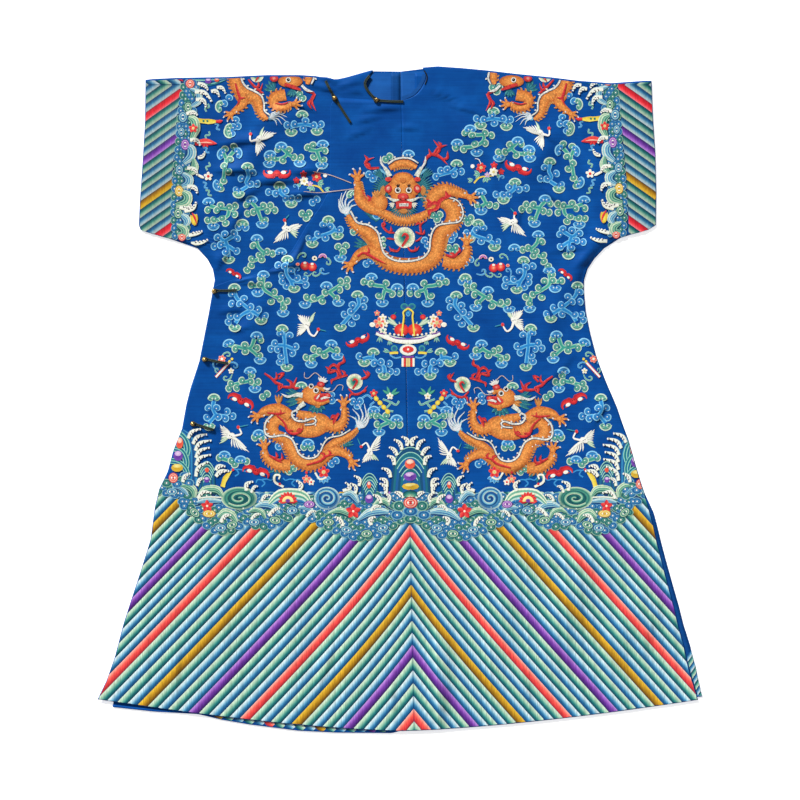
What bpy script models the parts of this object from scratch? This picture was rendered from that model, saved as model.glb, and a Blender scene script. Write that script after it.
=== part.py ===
"""A Chinese dragon robe laid flat on its back, front up, sleeves spread.

Each body length is one wall: it runs from the back hem up the back, folds over the
shoulder without a seam and comes down the front. The outer flap is sewn to the left
front along the centre seam and closes over to the wearer's right, where five cord
loops go round ball buttons. +X is the wearer's left, +Y points to the collar and
z = 0 is the surface that the back lies on. Tables are in millimetres.
"""

import math
from collections import namedtuple

import bmesh
import bpy
from mathutils import Vector
from mathutils.bvhtree import BVHTree

MM = 0.001

# Driving dimensions, in millimetres.
CLOTH = 1.2                   # satin with its backing
LINING = 1.0                  # plain silk lining
GAP = 0.3                     # clear space between two pieces at a seam
COLUMNS = 16                  # cells across one body length
FLAP_COLUMNS = 13             # cells across the outer flap
FOLD_STEPS = 5                # steps round the shoulder fold

# Heights of the middle of each layer above the surface.
BACK_LEVEL = CLOTH / 2
LINING_LEVEL = CLOTH + GAP + LINING / 2
TURNED_HEM_LEVEL = 2.4
UNDER_LEVEL = 3.9
FLAP_LEVEL = UNDER_LEVEL + CLOTH + GAP
SEWN_EDGE_LEVEL = CLOTH + GAP + CLOTH / 2 + 0.1

# The centre seams lean a little to the wearer's left on the way down.
CENTRE_AT_WAIST = 15.2
CENTRE_LEAN = -0.021
CENTRE_RAMP = 120.0           # the left front sinks to its own level over this width

SEWN_RIM = 16.0               # width of the rim that sinks to a sewn side seam
LINING_INSET = 20.0           # the lining stops this far inside a sewn side seam
VENT_INSET = 2.0              # and this far inside the edges of the vents and hem
VENT_TOP = -205.0             # the side seams are sewn above this line
HEM_CORNER = -628.0
HEM_BOW = 66.0                # the hem hangs this much lower at the centre
HEM_HALF_WIDTH = 630.0
HEM_BOW_POWER = 1.5
HEM_BOW_START = 228.0         # rows below this line bend towards the hem's bow
SHOULDER_LEVEL = 672.0
SHOULDER_BEND_END = 636.0     # rows above this line bend towards the shoulder's line
UNDER_INSET = 6.0             # the under flap's side edge lies this far in at the hem
UNDER_EDGE = 24.0             # the under flap ends this far short of the centre seam
FLAP_EDGE_RAMP = 60.0         # the right front's folds die out this far from the flap
RIM_RAMP = 30.0               # and folds rise to their height this far from an edge
FLAP_TOP_STEP = 20.0          # the flap's second row is at least this far down
INNER_FLAP_RISE = 34.0        # the under flap is this much shorter than the outer one

HEM_ALLOWANCE = 4.0
TURNED_ALLOWANCE = 34.0       # where the back hem is folded up to the front
TURNED_FROM = -385.0
TURNED_TO = -12.0
TURNED_RAMP = 34.0

CORD_RADIUS = 2.6
BUTTON_RADIUS = 5.6
LAY_ON = 0.5                  # clear space under what lies on a folded panel
FACING_WIDTH = 8.0
FACING_INSIDE = 1.6           # the facing stops this far inside the neckline
FACING_DIP = 0.4              # its inner edge lies this much lower
NECK_CENTRE = (-8.0, 668.0)

Edge = namedtuple("Edge", "y x")
Top = namedtuple("Top", "x y")
Fold = namedtuple("Fold", "panel x y turn length width rise")
Closure = namedtuple("Closure", "name button loop strap")

# Side edge of the front at the wearer's right, from the shoulder to the hem.
RIGHT_EDGE = [
    Edge(671, -534), Edge(585, -535), Edge(500, -540), Edge(414, -546),
    Edge(367, -548), Edge(356, -544), Edge(342, -497), Edge(334, -462),
    Edge(325, -431), Edge(305, -412), Edge(286, -396), Edge(257, -388),
    Edge(227, -393), Edge(183, -401), Edge(129, -412), Edge(85, -421),
    Edge(32, -439), Edge(-3, -448), Edge(-52, -457), Edge(-96, -475),
    Edge(-141, -487), Edge(-178, -505), Edge(-216, -514), Edge(-283, -523),
    Edge(-354, -545), Edge(-416, -565), Edge(-464, -580), Edge(-535, -598),
    Edge(-588, -616), Edge(-628, -634),
]

# Side edge of the front at the wearer's left.
LEFT_EDGE = [
    Edge(669, 528), Edge(591, 531), Edge(516, 536), Edge(433, 538),
    Edge(367, 537), Edge(356, 519), Edge(347, 484), Edge(336, 450),
    Edge(321, 431), Edge(298, 409), Edge(276, 394), Edge(250, 386),
    Edge(229, 386), Edge(187, 390), Edge(144, 399), Edge(92, 413),
    Edge(41, 433), Edge(-6, 454), Edge(-45, 467), Edge(-79, 480),
    Edge(-126, 493), Edge(-169, 506), Edge(-200, 516), Edge(-246, 529),
    Edge(-298, 541), Edge(-334, 550), Edge(-392, 565), Edge(-433, 576),
    Edge(-473, 585), Edge(-514, 596), Edge(-546, 602), Edge(-580, 611),
    Edge(-628, 625),
]

# How far the back's edge shows past the front's, at each side; minus is hidden.
BACK_SHOWS_LEFT = [
    Edge(671, 0), Edge(-200, 0), Edge(-220, 7), Edge(-320, 8),
    Edge(-470, 10), Edge(-560, 14), Edge(-628, 9),
]
BACK_SHOWS_RIGHT = [
    Edge(671, 0), Edge(-216, 0), Edge(-416, -8), Edge(-588, -20), Edge(-628, -31),
]

# Ridge of the shoulders, left and right of the neck.
SHOULDER = [
    Top(-534, 671), Top(-470, 674), Top(-361, 676), Top(-279, 680), Top(-210, 680),
    Top(-178, 678), Top(-137, 670), Top(-113, 675), Top(-82, 684), Top(-60, 690),
    Top(4, 693), Top(46, 695), Top(79, 698), Top(126, 695), Top(180, 690),
    Top(240, 683), Top(319, 675), Top(375, 668), Top(442, 663), Top(528, 669),
]

# Neckline of the front, from the shoulder ridge to the lowest point, by row. The
# right one goes on under the outer flap, to the edge of the under flap.
NECK_RIGHT = [
    Edge(672, -57), Edge(661, -68), Edge(651, -73), Edge(643, -67), Edge(632, -57),
    Edge(627, -48), Edge(600, -26), Edge(560, -14),
]
NECK_LEFT = [
    Edge(672, 48), Edge(664, 56), Edge(657, 54), Edge(648, 45), Edge(638, 31),
    Edge(632, 18), Edge(627, 6),
]

# Free edge of the outer flap, from the collar down to the underarm.
FLAP_EDGE = [
    Edge(634, -134), Edge(624, -143), Edge(613, -147), Edge(441, -147),
    Edge(404, -168), Edge(367, -195), Edge(313, -227), Edge(290, -249),
    Edge(273, -271), Edge(262, -310), Edge(252, -352), Edge(237, -394),
]
FLAP_TOP = [Top(-134, 634), Top(-50, 629), Top(8, 627)]

# Lowest edge of the back, from the wearer's right to the left.
BACK_HEM = [
    Top(-634, -640), Top(-514, -653), Top(-424, -658), Top(-374, -670),
    Top(-315, -680), Top(-213, -693), Top(-132, -697), Top(-17, -698),
    Top(20, -688), Top(150, -680), Top(300, -668), Top(480, -642), Top(634, -621),
]

# Nominal heights of the rows, from the shoulder ridge to the hem.
FRONT_ROWS = [
    665, 657, 649, 641, 633, 627, 608, 585, 555, 525, 495, 465, 435, 404, 380, 367,
    356, 345, 336, 325,
    305, 286, 257, 237, 205, 170, 135, 100, 65, 30, -5, -50, -95, -141, -178, -216,
    -254, -292, -330, -370, -410, -450, -490, -530, -570, -600, HEM_CORNER,
]
BACK_ROWS = [
    669, 650, 585, 500, 414, 367, 356, 342, 334, 325, 305, 280, 240, 150, 40, -60, -141,
    -206, -216, -300, -416, -535, -600,
]
LINING_ROWS = [
    668, 520, 380, 356, 340, 325, 300, 260, 190, 40, -100, VENT_TOP + 1, VENT_TOP - 12,
    -416, -560, HEM_CORNER,
]

# The largest folds: soft ridges on the panel that lies uppermost there.
FOLDS = [
    Fold("front", 82, -560, 88, 290, 66, 7.0),
    Fold("front", 205, -470, 82, 330, 90, 4.5),
    Fold("front", 350, -430, 74, 380, 96, 5.5),
    Fold("front", 478, -470, 66, 280, 80, 4.0),
    Fold("front", -90, -500, 92, 330, 90, 4.0),
    Fold("front", -235, -450, 100, 400, 96, 5.0),
    Fold("front", -395, -440, 108, 330, 90, 5.0),
    Fold("front", 395, 300, 62, 200, 70, 6.0),
    Fold("front", 330, 205, 70, 260, 80, 4.5),
    Fold("front", 432, 60, 108, 260, 64, 4.0),
    Fold("front", -310, 160, 75, 240, 74, 5.0),
    Fold("front", -215, 300, 60, 120, 60, 4.0),
    Fold("front", 150, 560, 118, 210, 80, 5.0),
    Fold("front", 300, 520, 60, 260, 86, 4.5),
    Fold("front", 420, 450, 128, 240, 80, 4.5),
    Fold("right", -318, 500, 58, 190, 76, 5.0),
    Fold("right", -250, 590, 12, 150, 70, 4.0),
    Fold("right", -385, 375, 132, 190, 74, 5.5),
    Fold("right", -470, 520, 96, 220, 78, 4.0),
]

# Each closure: the ball button, then the points of its loop cord and strap cord.
CLOSURES = [
    Closure("neck", (-49, 627), [(-41, 619), (-20, 620), (8, 625)],
            [(-57, 636), (-71, 650), (-78, 664), (-69, 681)]),
    Closure("collarbone", (-139, 640), [(-135, 628), (-121, 602), (-104, 582)],
            [(-144, 651), (-150, 662), (-153, 670)]),
    Closure("underarm", (-389, 228), [(-380, 229), (-362, 229), (-342, 230)], None),
    Closure("side", (-409, 85), [(-400, 84), (-380, 80), (-359, 76)], None),
    Closure("hip", (-434, -50), [(-425, -52), (-408, -57), (-390, -63)], None),
]

Paint = namedtuple("Paint", "name colour roughness metallic")
SATIN_PAINT = Paint("royal blue satin", (0.013, 0.075, 0.330, 1.0), 0.45, 0.0)
LINING_PAINT = Paint("blue silk lining", (0.015, 0.110, 0.420, 1.0), 0.55, 0.0)
FACING_PAINT = Paint("pale blue facing", (0.130, 0.300, 0.560, 1.0), 0.60, 0.0)
CORD_PAINT = Paint("dark green cord", (0.020, 0.028, 0.022, 1.0), 0.70, 0.0)
GILT_PAINT = Paint("gilt brass", (0.580, 0.365, 0.100, 1.0), 0.30, 1.0)


def read(table, at):
    """Value of a two-column table at the place given, on straight lines."""
    first, last = table[0], table[-1]
    rising = last[0] > first[0]
    rows = table if rising else table[::-1]
    if at <= rows[0][0]:
        return rows[0][1]
    for low, high in zip(rows, rows[1:]):
        if at <= high[0]:
            share = (at - low[0]) / (high[0] - low[0])
            return low[1] + share * (high[1] - low[1])
    return rows[-1][1]


def soft(share):
    """0 to 1 with level ends."""
    share = min(max(share, 0.0), 1.0)
    return share * share * (3.0 - 2.0 * share)


def centre_x(y):
    """The centre seam's x at the height given."""
    return CENTRE_AT_WAIST + CENTRE_LEAN * y


def bent_y(x, row):
    """Height of a front row at x: near the shoulder it follows the ridge, and
    below the underarm it bends towards the hem's bow."""
    up = soft((row - SHOULDER_BEND_END) / (SHOULDER_LEVEL - SHOULDER_BEND_END))
    down = (HEM_BOW_START - row) / (HEM_BOW_START - HEM_CORNER)
    across = min(abs(x) / HEM_HALF_WIDTH, 1.0)
    bow = HEM_BOW * (1.0 - across ** HEM_BOW_POWER)
    lift = read(SHOULDER, x) - SHOULDER_LEVEL
    return row + up * lift - max(down, 0.0) * bow


def fold_rise(panel, x, y):
    """Height that the named panel's folds add at (x, y)."""
    rise = 0.0
    for fold in FOLDS:
        if fold.panel != panel:
            continue
        turn = math.radians(fold.turn)
        dx, dy = x - fold.x, y - fold.y
        along = (dx * math.cos(turn) + dy * math.sin(turn)) / (fold.length / 2)
        across = (-dx * math.sin(turn) + dy * math.cos(turn)) / (fold.width / 2)
        if abs(along) < 1.0 and abs(across) < 1.0:
            rise += fold.rise * soft(1.0 - abs(along)) * soft(1.0 - abs(across))
    return rise


def spread(start, end, cells, rim):
    """x of each column from start to end, with one narrow rim column at the end
    named by rim (-1 at the start, 1 at the end, 0 for none)."""
    if rim == 0:
        return [start + (end - start) * i / cells for i in range(cells + 1)]
    inner = [i / (cells - 1) for i in range(cells)]
    if rim < 0:
        inside = start + SEWN_RIM
        return [start] + [inside + (end - inside) * share for share in inner]
    inside = end - SEWN_RIM
    return [start + (inside - start) * share for share in inner] + [end]


def edge_level(level, distance, y):
    """Sinks a layer to the sewn side seam over its rim, above the vents."""
    if y < VENT_TOP:
        return level
    return SEWN_EDGE_LEVEL + (level - SEWN_EDGE_LEVEL) * soft(distance / SEWN_RIM)


def left_front_row(row):
    """One row of the left front: centre seam or neckline to the side edge."""
    start = read(NECK_LEFT, row) if row > NECK_LEFT[-1].y else centre_x(row) + GAP / 2
    end = read(LEFT_EDGE, row)
    points = []
    for x in spread(start, end, COLUMNS, 1):
        y = bent_y(x, row)
        near = 1.0 - soft((x - centre_x(y)) / CENTRE_RAMP)
        level = UNDER_LEVEL + (FLAP_LEVEL - UNDER_LEVEL) * near
        level += fold_rise("front", x, y) * soft((end - x) / RIM_RAMP)
        points.append((x, y, edge_level(level, end - x, row)))
    return points


def right_front_row(row):
    """One row of the right front and the under flap below it: it lies flat where
    the outer flap covers it, and its hem is a little higher."""
    down = max((HEM_BOW_START - row) / (HEM_BOW_START - HEM_CORNER), 0.0)
    lifted = row + INNER_FLAP_RISE * down
    start = read(RIGHT_EDGE, lifted) + UNDER_INSET * down
    end = read(NECK_RIGHT, row) if row > NECK_RIGHT[-1].y else centre_x(row) - UNDER_EDGE
    points = []
    for x in spread(start, end, COLUMNS, -1):
        y = bent_y(x, lifted)
        bare = 0.0
        if row > FLAP_EDGE[-1].y:
            bare = soft((read(FLAP_EDGE, row) - x) / FLAP_EDGE_RAMP)
        rise = fold_rise("right", x, y) * bare * soft((x - start) / RIM_RAMP)
        level = UNDER_LEVEL + rise
        points.append((x, y, edge_level(level, x - start, row)))
    return points


def back_row(row, side, seam_shift, level):
    """One row of a back length, between the centre seam and its side edge."""
    table, shows, sign = (
        (LEFT_EDGE, BACK_SHOWS_LEFT, 1) if side == "left"
        else (RIGHT_EDGE, BACK_SHOWS_RIGHT, -1)
    )
    outer = read(table, row) + sign * read(shows, row)
    seam = centre_x(row) + sign * seam_shift
    columns = spread(outer, seam, COLUMNS, 0) if sign < 0 else spread(seam, outer, COLUMNS, 0)
    return [(x, back_y(x, row), level) for x in columns]


def back_y(x, row):
    """Height of a back row at x: it bends towards the back hem."""
    down = max((HEM_BOW_START - row) / (HEM_BOW_START - HEM_CORNER), 0.0)
    up = soft((row - SHOULDER_BEND_END) / (SHOULDER_LEVEL - SHOULDER_BEND_END))
    lift = read(SHOULDER, x) - SHOULDER_LEVEL
    return row + up * lift + down * (read(BACK_HEM, x) - HEM_CORNER)


def half_turn(low, high, forward):
    """Rows round a fold: low and high are rows of the two layers at the same x.
    forward is 1 for a fold at the top and -1 for one at the hem."""
    rows = []
    for step in range(1, FOLD_STEPS):
        angle = -math.pi / 2 + math.pi * step / FOLD_STEPS
        row = []
        for under, over in zip(low, high):
            radius = (over[2] - under[2]) / 2
            share = (1.0 + math.sin(angle)) / 2
            x = under[0] + (over[0] - under[0]) * share
            y = under[1] + (over[1] - under[1]) * share + forward * radius * math.cos(angle)
            row.append((x, y, under[2] + radius * (1.0 + math.sin(angle))))
        rows.append(row)
    return rows


def turned_allowance(x):
    """Width of the hem that is turned to the front at x."""
    share = soft((x - TURNED_FROM) / TURNED_RAMP) * soft((TURNED_TO - x) / TURNED_RAMP)
    return HEM_ALLOWANCE + (TURNED_ALLOWANCE - HEM_ALLOWANCE) * share


def body_rows(side):
    """All rows of one body length: turned hem, back, shoulder fold and front."""
    front_row = left_front_row if side == "left" else right_front_row
    hem = back_row(HEM_CORNER, side, GAP / 2, BACK_LEVEL)
    turned = [(x, y, TURNED_HEM_LEVEL) for x, y, z in hem]
    tucked = [(x, y + turned_allowance(x), z) for x, y, z in turned]
    rows = [tucked, turned]
    rows += half_turn(hem, turned, -1)[::-1]
    rows.append(hem)
    rows += [back_row(row, side, GAP / 2, BACK_LEVEL) for row in BACK_ROWS[::-1]]
    ridge = front_row(SHOULDER_LEVEL)
    low = [(x, y, BACK_LEVEL) for x, y, z in ridge]
    rows.append(low)
    rows += half_turn(low, ridge, 1)
    rows.append(ridge)
    rows += [front_row(row) for row in FRONT_ROWS]
    return rows


def flap_rows():
    """Rows of the outer flap, from its top edge to the hem."""
    rows = []
    top = FLAP_TOP[0].y
    for row in [top] + [row for row in FRONT_ROWS if row < top - FLAP_TOP_STEP]:
        start = read(FLAP_EDGE, row) if row > FLAP_EDGE[-1].y else read(RIGHT_EDGE, row)
        end = centre_x(row) - GAP / 2
        points = []
        for x in spread(start, end, FLAP_COLUMNS, 0):
            y = read(FLAP_TOP, x) if row == top else bent_y(x, row)
            rise = fold_rise("front", x, y) * soft((x - start) / RIM_RAMP)
            points.append((x, y, FLAP_LEVEL + rise))
        rows.append(points)
    return rows


def lining_rows(side):
    """Rows of one length of the back lining. It stops short of the sewn side
    seams, and inside the turned hem."""
    rows = []
    sign = 1 if side == "left" else -1
    table, shows = (
        (LEFT_EDGE, BACK_SHOWS_LEFT) if side == "left" else (RIGHT_EDGE, BACK_SHOWS_RIGHT)
    )
    for row in LINING_ROWS:
        inset = LINING_INSET if row > VENT_TOP else VENT_INSET
        outer = read(table, row) + sign * (read(shows, row) - inset)
        seam = centre_x(row) + sign * GAP / 2
        ends = (seam, outer) if side == "left" else (outer, seam)
        points = []
        for x in spread(*ends, COLUMNS, 0):
            y = back_y(x, row)
            if row == HEM_CORNER:
                y += turned_allowance(x) + VENT_INSET
            points.append((x, y, LINING_LEVEL))
        rows.append(points)
    return rows


def make_material(paint):
    """A plain Principled material in the paint's colour."""
    material = bpy.data.materials.new(paint.name)
    material.use_nodes = True
    shader = material.node_tree.nodes["Principled BSDF"]
    shader.inputs["Base Color"].default_value = paint.colour
    shader.inputs["Roughness"].default_value = paint.roughness
    shader.inputs["Metallic"].default_value = paint.metallic
    material.diffuse_color = paint.colour
    return material


def add_object(name, mesh, collection, material):
    """Links a new object that holds the mesh."""
    mesh.materials.append(material)
    thing = bpy.data.objects.new(name, mesh)
    collection.objects.link(thing)
    return thing


def make_sheet(name, rows, thickness, collection, material):
    """A loft through the rows, given its thickness by Solidify."""
    across, along = len(rows[0]), len(rows)
    shape = bmesh.new()
    bmesh.ops.create_grid(shape, x_segments=across - 1, y_segments=along - 1, size=1.0)
    shape.verts.ensure_lookup_table()
    for index, vert in enumerate(shape.verts):
        row, column = divmod(index, across)
        vert.co = Vector(rows[row][column]) * MM
    mesh = bpy.data.meshes.new(name)
    shape.to_mesh(mesh)
    shape.free()
    sheet = add_object(name, mesh, collection, material)
    wall = sheet.modifiers.new("Solidify", "SOLIDIFY")
    wall.thickness = thickness * MM
    wall.offset = 0.0
    mesh.shade_smooth()
    return sheet


def top_finder(sheets):
    """Returns a function that gives the height of the highest cloth at (x, y)."""
    graph = bpy.context.evaluated_depsgraph_get()
    trees = [BVHTree.FromObject(sheet, graph) for sheet in sheets]

    def top(x, y):
        heights = []
        for tree in trees:
            hit = tree.ray_cast(Vector((x * MM, y * MM, 1.0)), Vector((0, 0, -1)))
            if hit[0] is not None:
                heights.append(hit[0].z / MM)
        return max(heights) if heights else 0.0

    return top


def rest_height(top, x, y, reach):
    """Highest cloth within reach of (x, y)."""
    return max(top(x + dx, y + dy) for dx in (-reach, 0, reach) for dy in (-reach, 0, reach))


def smooth_route(points, steps):
    """Points along a Catmull-Rom curve through the route's own points."""
    ends = [points[0]] + points + [points[-1]]
    route = []
    for a, b, c, d in zip(ends, ends[1:], ends[2:], ends[3:]):
        a, b, c, d = Vector(a), Vector(b), Vector(c), Vector(d)
        for step in range(steps):
            t = step / steps
            route.append(
                0.5 * (2 * b + (c - a) * t + (2 * a - 5 * b + 4 * c - d) * t * t
                       + (3 * b - 3 * c + d - a) * t ** 3)
            )
    route.append(Vector(points[-1]))
    return route


def make_cord(name, points, top, collection, material):
    """A round cord laid along the points, on whatever cloth is under it."""
    curve = bpy.data.curves.new(name, "CURVE")
    curve.dimensions = "3D"
    curve.bevel_depth = CORD_RADIUS * MM
    curve.bevel_resolution = 2
    curve.use_fill_caps = True
    curve.materials.append(material)
    route = smooth_route([(x, y) for x, y in points], 3)
    spline = curve.splines.new("POLY")
    spline.points.add(len(route) - 1)
    heights = [rest_height(top, p.x, p.y, CORD_RADIUS) for p in route]
    for index, point in enumerate(route):
        near = heights[max(index - 1, 0):index + 2]
        z = max(near) + LAY_ON + CORD_RADIUS
        spline.points[index].co = (point.x * MM, point.y * MM, z * MM, 1.0)
    cord = bpy.data.objects.new(name, curve)
    collection.objects.link(cord)
    return cord


def make_button(name, place, top, collection, material):
    """A ball button resting on the cloth."""
    bpy.ops.mesh.primitive_uv_sphere_add(
        segments=14, ring_count=8, radius=BUTTON_RADIUS * MM,
    )
    ball = bpy.context.object
    ball.name = name
    ball.data.name = name
    for owner in list(ball.users_collection):
        owner.objects.unlink(ball)
    collection.objects.link(ball)
    ball.data.materials.append(material)
    ball.data.shade_smooth()
    x, y = place
    z = rest_height(top, x, y, BUTTON_RADIUS * 0.7) + LAY_ON + BUTTON_RADIUS
    ball.location = (x * MM, y * MM, z * MM)
    return ball


def facing_rows():
    """The facing: a narrow band inside the left side of the neckline."""
    rows = []
    for edge in NECK_LEFT[1:]:
        rim = Vector((edge.x, bent_y(edge.x, edge.y)))
        out = (rim - Vector(NECK_CENTRE)).normalized()
        outer = rim - out * FACING_INSIDE
        inner = outer - out * FACING_WIDTH
        low = UNDER_LEVEL - FACING_DIP
        rows.append([(inner.x, inner.y, low), (outer.x, outer.y, UNDER_LEVEL)])
    return rows


def build():
    """Makes every piece of the robe."""
    for thing in list(bpy.data.objects):
        bpy.data.objects.remove(thing, do_unlink=True)
    robe = bpy.data.collections.new("dragon_robe")
    bpy.context.scene.collection.children.link(robe)
    satin = make_material(SATIN_PAINT)
    silk = make_material(LINING_PAINT)
    pale = make_material(FACING_PAINT)
    cord = make_material(CORD_PAINT)
    gilt = make_material(GILT_PAINT)

    panels = [
        make_sheet("body_right", body_rows("right"), CLOTH, robe, satin),
        make_sheet("body_left", body_rows("left"), CLOTH, robe, satin),
        make_sheet("outer_flap", flap_rows(), CLOTH, robe, satin),
    ]
    for side in ("right", "left"):
        make_sheet(f"lining_{side}", lining_rows(side), LINING, robe, silk)
    make_sheet("neck_facing", facing_rows(), LINING, robe, pale)

    top = top_finder(panels)
    for closure in CLOSURES:
        make_button(f"button_{closure.name}", closure.button, top, robe, gilt)
        make_cord(f"loop_{closure.name}", closure.loop, top, robe, cord)
        if closure.strap:
            make_cord(f"strap_{closure.name}", closure.strap, top, robe, cord)


build()
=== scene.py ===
# %% [markdown]
# # A Chinese dragon robe, laid flat
# A robe like this is cut from two body lengths of satin. Each length runs from the
# back hem up the back, over the shoulder without a seam, and down the front. A
# separate flap is sewn on at the centre front and closes over to the wearer's right.
# The ground is royal blue satin, and everything on it is worked in silk floss. The
# tables below are in millimetres: x to the wearer's left, y towards the collar and z
# up from the surface that the robe lies on. They repeat the robe's cut, so the soft
# cloth made here lies where the solid frame says.

# %% load the frame
import math

import bpy
import numpy as np
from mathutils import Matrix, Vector


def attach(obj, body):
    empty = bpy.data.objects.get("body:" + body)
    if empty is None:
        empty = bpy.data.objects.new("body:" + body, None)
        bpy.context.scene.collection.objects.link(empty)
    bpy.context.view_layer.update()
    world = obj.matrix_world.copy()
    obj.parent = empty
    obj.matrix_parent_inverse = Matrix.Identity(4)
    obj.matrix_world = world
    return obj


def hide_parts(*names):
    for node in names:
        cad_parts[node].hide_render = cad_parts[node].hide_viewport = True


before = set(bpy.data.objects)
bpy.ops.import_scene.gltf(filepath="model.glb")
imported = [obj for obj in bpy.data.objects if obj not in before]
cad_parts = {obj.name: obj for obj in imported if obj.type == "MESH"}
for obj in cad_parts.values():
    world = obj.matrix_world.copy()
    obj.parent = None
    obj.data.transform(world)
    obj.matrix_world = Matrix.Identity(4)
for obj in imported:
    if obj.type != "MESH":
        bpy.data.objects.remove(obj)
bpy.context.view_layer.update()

MM = 0.001

# %% [markdown]
# ## Colours
# Silk floss is dyed in steps, pale to dark, and a motif is shaded by laying bands of
# those steps side by side. Each family of steps is a short list of sRGB values, and
# one function turns them to the linear values that shaders work in.

# %% colours
def linear(code):
    """sRGB hex to linear: under 0.04045 divide by 12.92, over it use the 2.4 power."""
    value = np.array([int(code[i:i + 2], 16) for i in (1, 3, 5)]) / 255.0
    return np.where(value <= 0.04045, value / 12.92, ((value + 0.055) / 1.055) ** 2.4)


def steps(*codes):
    """The steps of one floss family, each turned to linear, as the rows of an array."""
    return np.array([linear(code) for code in codes])


GREEN_ROLL = steps("#cbddc6", "#bdd7bc", "#9cc6ac", "#60a795", "#247b79", "#0f5a65", "#0b4551")
BLUE_ROLL = steps("#d3e3e4", "#c4dbe0", "#9bc5d5", "#579bbf", "#256e9f", "#155687", "#104774")
CORAL_ROLL = steps("#fbb3a2", "#fa8f7e", "#f4685c", "#ee4f4a", "#e04140", "#c8343a", "#a82c36")
OCHRE_ROLL = steps("#e2bb3e", "#d8ab30", "#cb9a22", "#b6851a", "#9a6e14", "#7a5411", "#5c400f")
PURPLE_ROLL = steps("#b98ad2", "#a571c6", "#8c50b2", "#71379c", "#5a2c8a", "#482273", "#381b5e")
RED_ROLL = steps("#f78a8c", "#f25a62", "#e93844", "#dc2532", "#cc1f2d", "#b51a29", "#941724")
WHITE = steps("#f4f1e8")
CREAM = steps("#f1e7cf")
BLACK = steps("#171b26")
SCARLET = steps("#c3202c", "#e33a3a", "#ee5a4c")
TEAL = steps("#1d6f86", "#2b8fa0", "#57b0a8")
print("steps in a roll's family:", len(GREEN_ROLL))

# %% [markdown]
# ## The cut
# The outline of the robe is a few short tables: the side edges row by row, the
# shoulder ridge and the back hem. A row is straight across at the chest. Near the
# shoulder it bends to follow the ridge, and below the underarm it bends towards the
# bow of the hem, as the real cloth's crosswise threads do on a flared skirt.

# %% outline tables
RIGHT_EDGE = np.array([
    (671, -534), (585, -535), (500, -540), (414, -546), (367, -548), (356, -544), (342, -497),
    (334, -462), (325, -431), (305, -412), (286, -396), (257, -388), (227, -393), (183, -401),
    (129, -412), (85, -421), (32, -439), (-3, -448), (-52, -457), (-96, -475), (-141, -487),
    (-178, -505), (-216, -514), (-283, -523), (-354, -545), (-416, -565), (-464, -580), (-535, -598),
    (-588, -616), (-628, -634),
])
LEFT_EDGE = np.array([
    (669, 528), (591, 531), (516, 536), (433, 538), (367, 537), (356, 519), (347, 484), (336, 450),
    (321, 431), (298, 409), (276, 394), (250, 386), (229, 386), (187, 390), (144, 399), (92, 413),
    (41, 433), (-6, 454), (-45, 467), (-79, 480), (-126, 493), (-169, 506), (-200, 516), (-246, 529),
    (-298, 541), (-334, 550), (-392, 565), (-433, 576), (-473, 585), (-514, 596), (-546, 602),
    (-580, 611), (-628, 625),
])
BACK_SHOWS_LEFT = np.array([
    (671, 0), (-200, 0), (-220, 7), (-320, 8), (-470, 10), (-560, 14), (-628, 9),
])
BACK_SHOWS_RIGHT = np.array([(671, 0), (-216, 0), (-416, -8), (-588, -20), (-628, -31)])
SHOULDER = np.array([
    (-534, 671), (-470, 674), (-361, 676), (-279, 680), (-210, 680), (-178, 678),
    (-137, 670), (-113, 675), (-82, 684), (-60, 690), (4, 693), (46, 695), (79, 698),
    (126, 695), (180, 690), (240, 683), (319, 675), (375, 668), (442, 663), (528, 669),
])
NECK_RIGHT = np.array([
    (672, -57), (661, -68), (651, -73), (643, -67), (632, -57), (627, -48), (600, -26),
    (560, -14),
])
NECK_LEFT = np.array([
    (672, 48), (664, 56), (657, 54), (648, 45), (638, 31), (632, 18), (627, 6),
])
FLAP_EDGE = np.array([
    (634, -134), (624, -143), (613, -147), (441, -147), (404, -168), (367, -195),
    (313, -227), (290, -249), (273, -271), (262, -310), (252, -352), (237, -394),
])
FLAP_TOP = np.array([(-134, 634), (-50, 629), (8, 627)])
BACK_HEM = np.array([
    (-634, -640), (-514, -653), (-424, -658), (-374, -670), (-315, -680), (-213, -693),
    (-132, -697), (-17, -698), (20, -688), (150, -680), (300, -668), (480, -642),
    (634, -621),
])


def read(table, at):
    """A two-column table read at any places, along straight lines."""
    order = np.argsort(table[:, 0])
    return np.interp(at, table[order, 0], table[order, 1])


def soft(share):
    """0 to 1 with level ends: 3 s^2 - 2 s^3."""
    share = np.clip(share, 0.0, 1.0)
    return share * share * (3.0 - 2.0 * share)


print("outline rows:", len(RIGHT_EDGE) + len(LEFT_EDGE))

# %% rows that bend with the cloth
SHOULDER_LEVEL, SHOULDER_BEND_END = 672.0, 636.0
HEM_BOW_START, HEM_CORNER, HEM_BOW, HEM_HALF_WIDTH = 228.0, -628.0, 66.0, 630.0
VENT_TOP = -205.0
SKIRT = HEM_BOW_START - HEM_CORNER


def centre_x(y):
    """The centre seam leans 21 mm in a metre."""
    return 15.2 - 0.021 * y


def bow(x):
    """How far the hem hangs at x: most at the centre, by the 1.5 power."""
    return HEM_BOW * (1.0 - np.minimum(np.abs(x) / HEM_HALF_WIDTH, 1.0) ** 1.5)


def shoulder_bend(x, row):
    """Lift of a row near the ridge."""
    share = (row - SHOULDER_BEND_END) / (SHOULDER_LEVEL - SHOULDER_BEND_END)
    return soft(share) * (read(SHOULDER, x) - SHOULDER_LEVEL)


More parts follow.
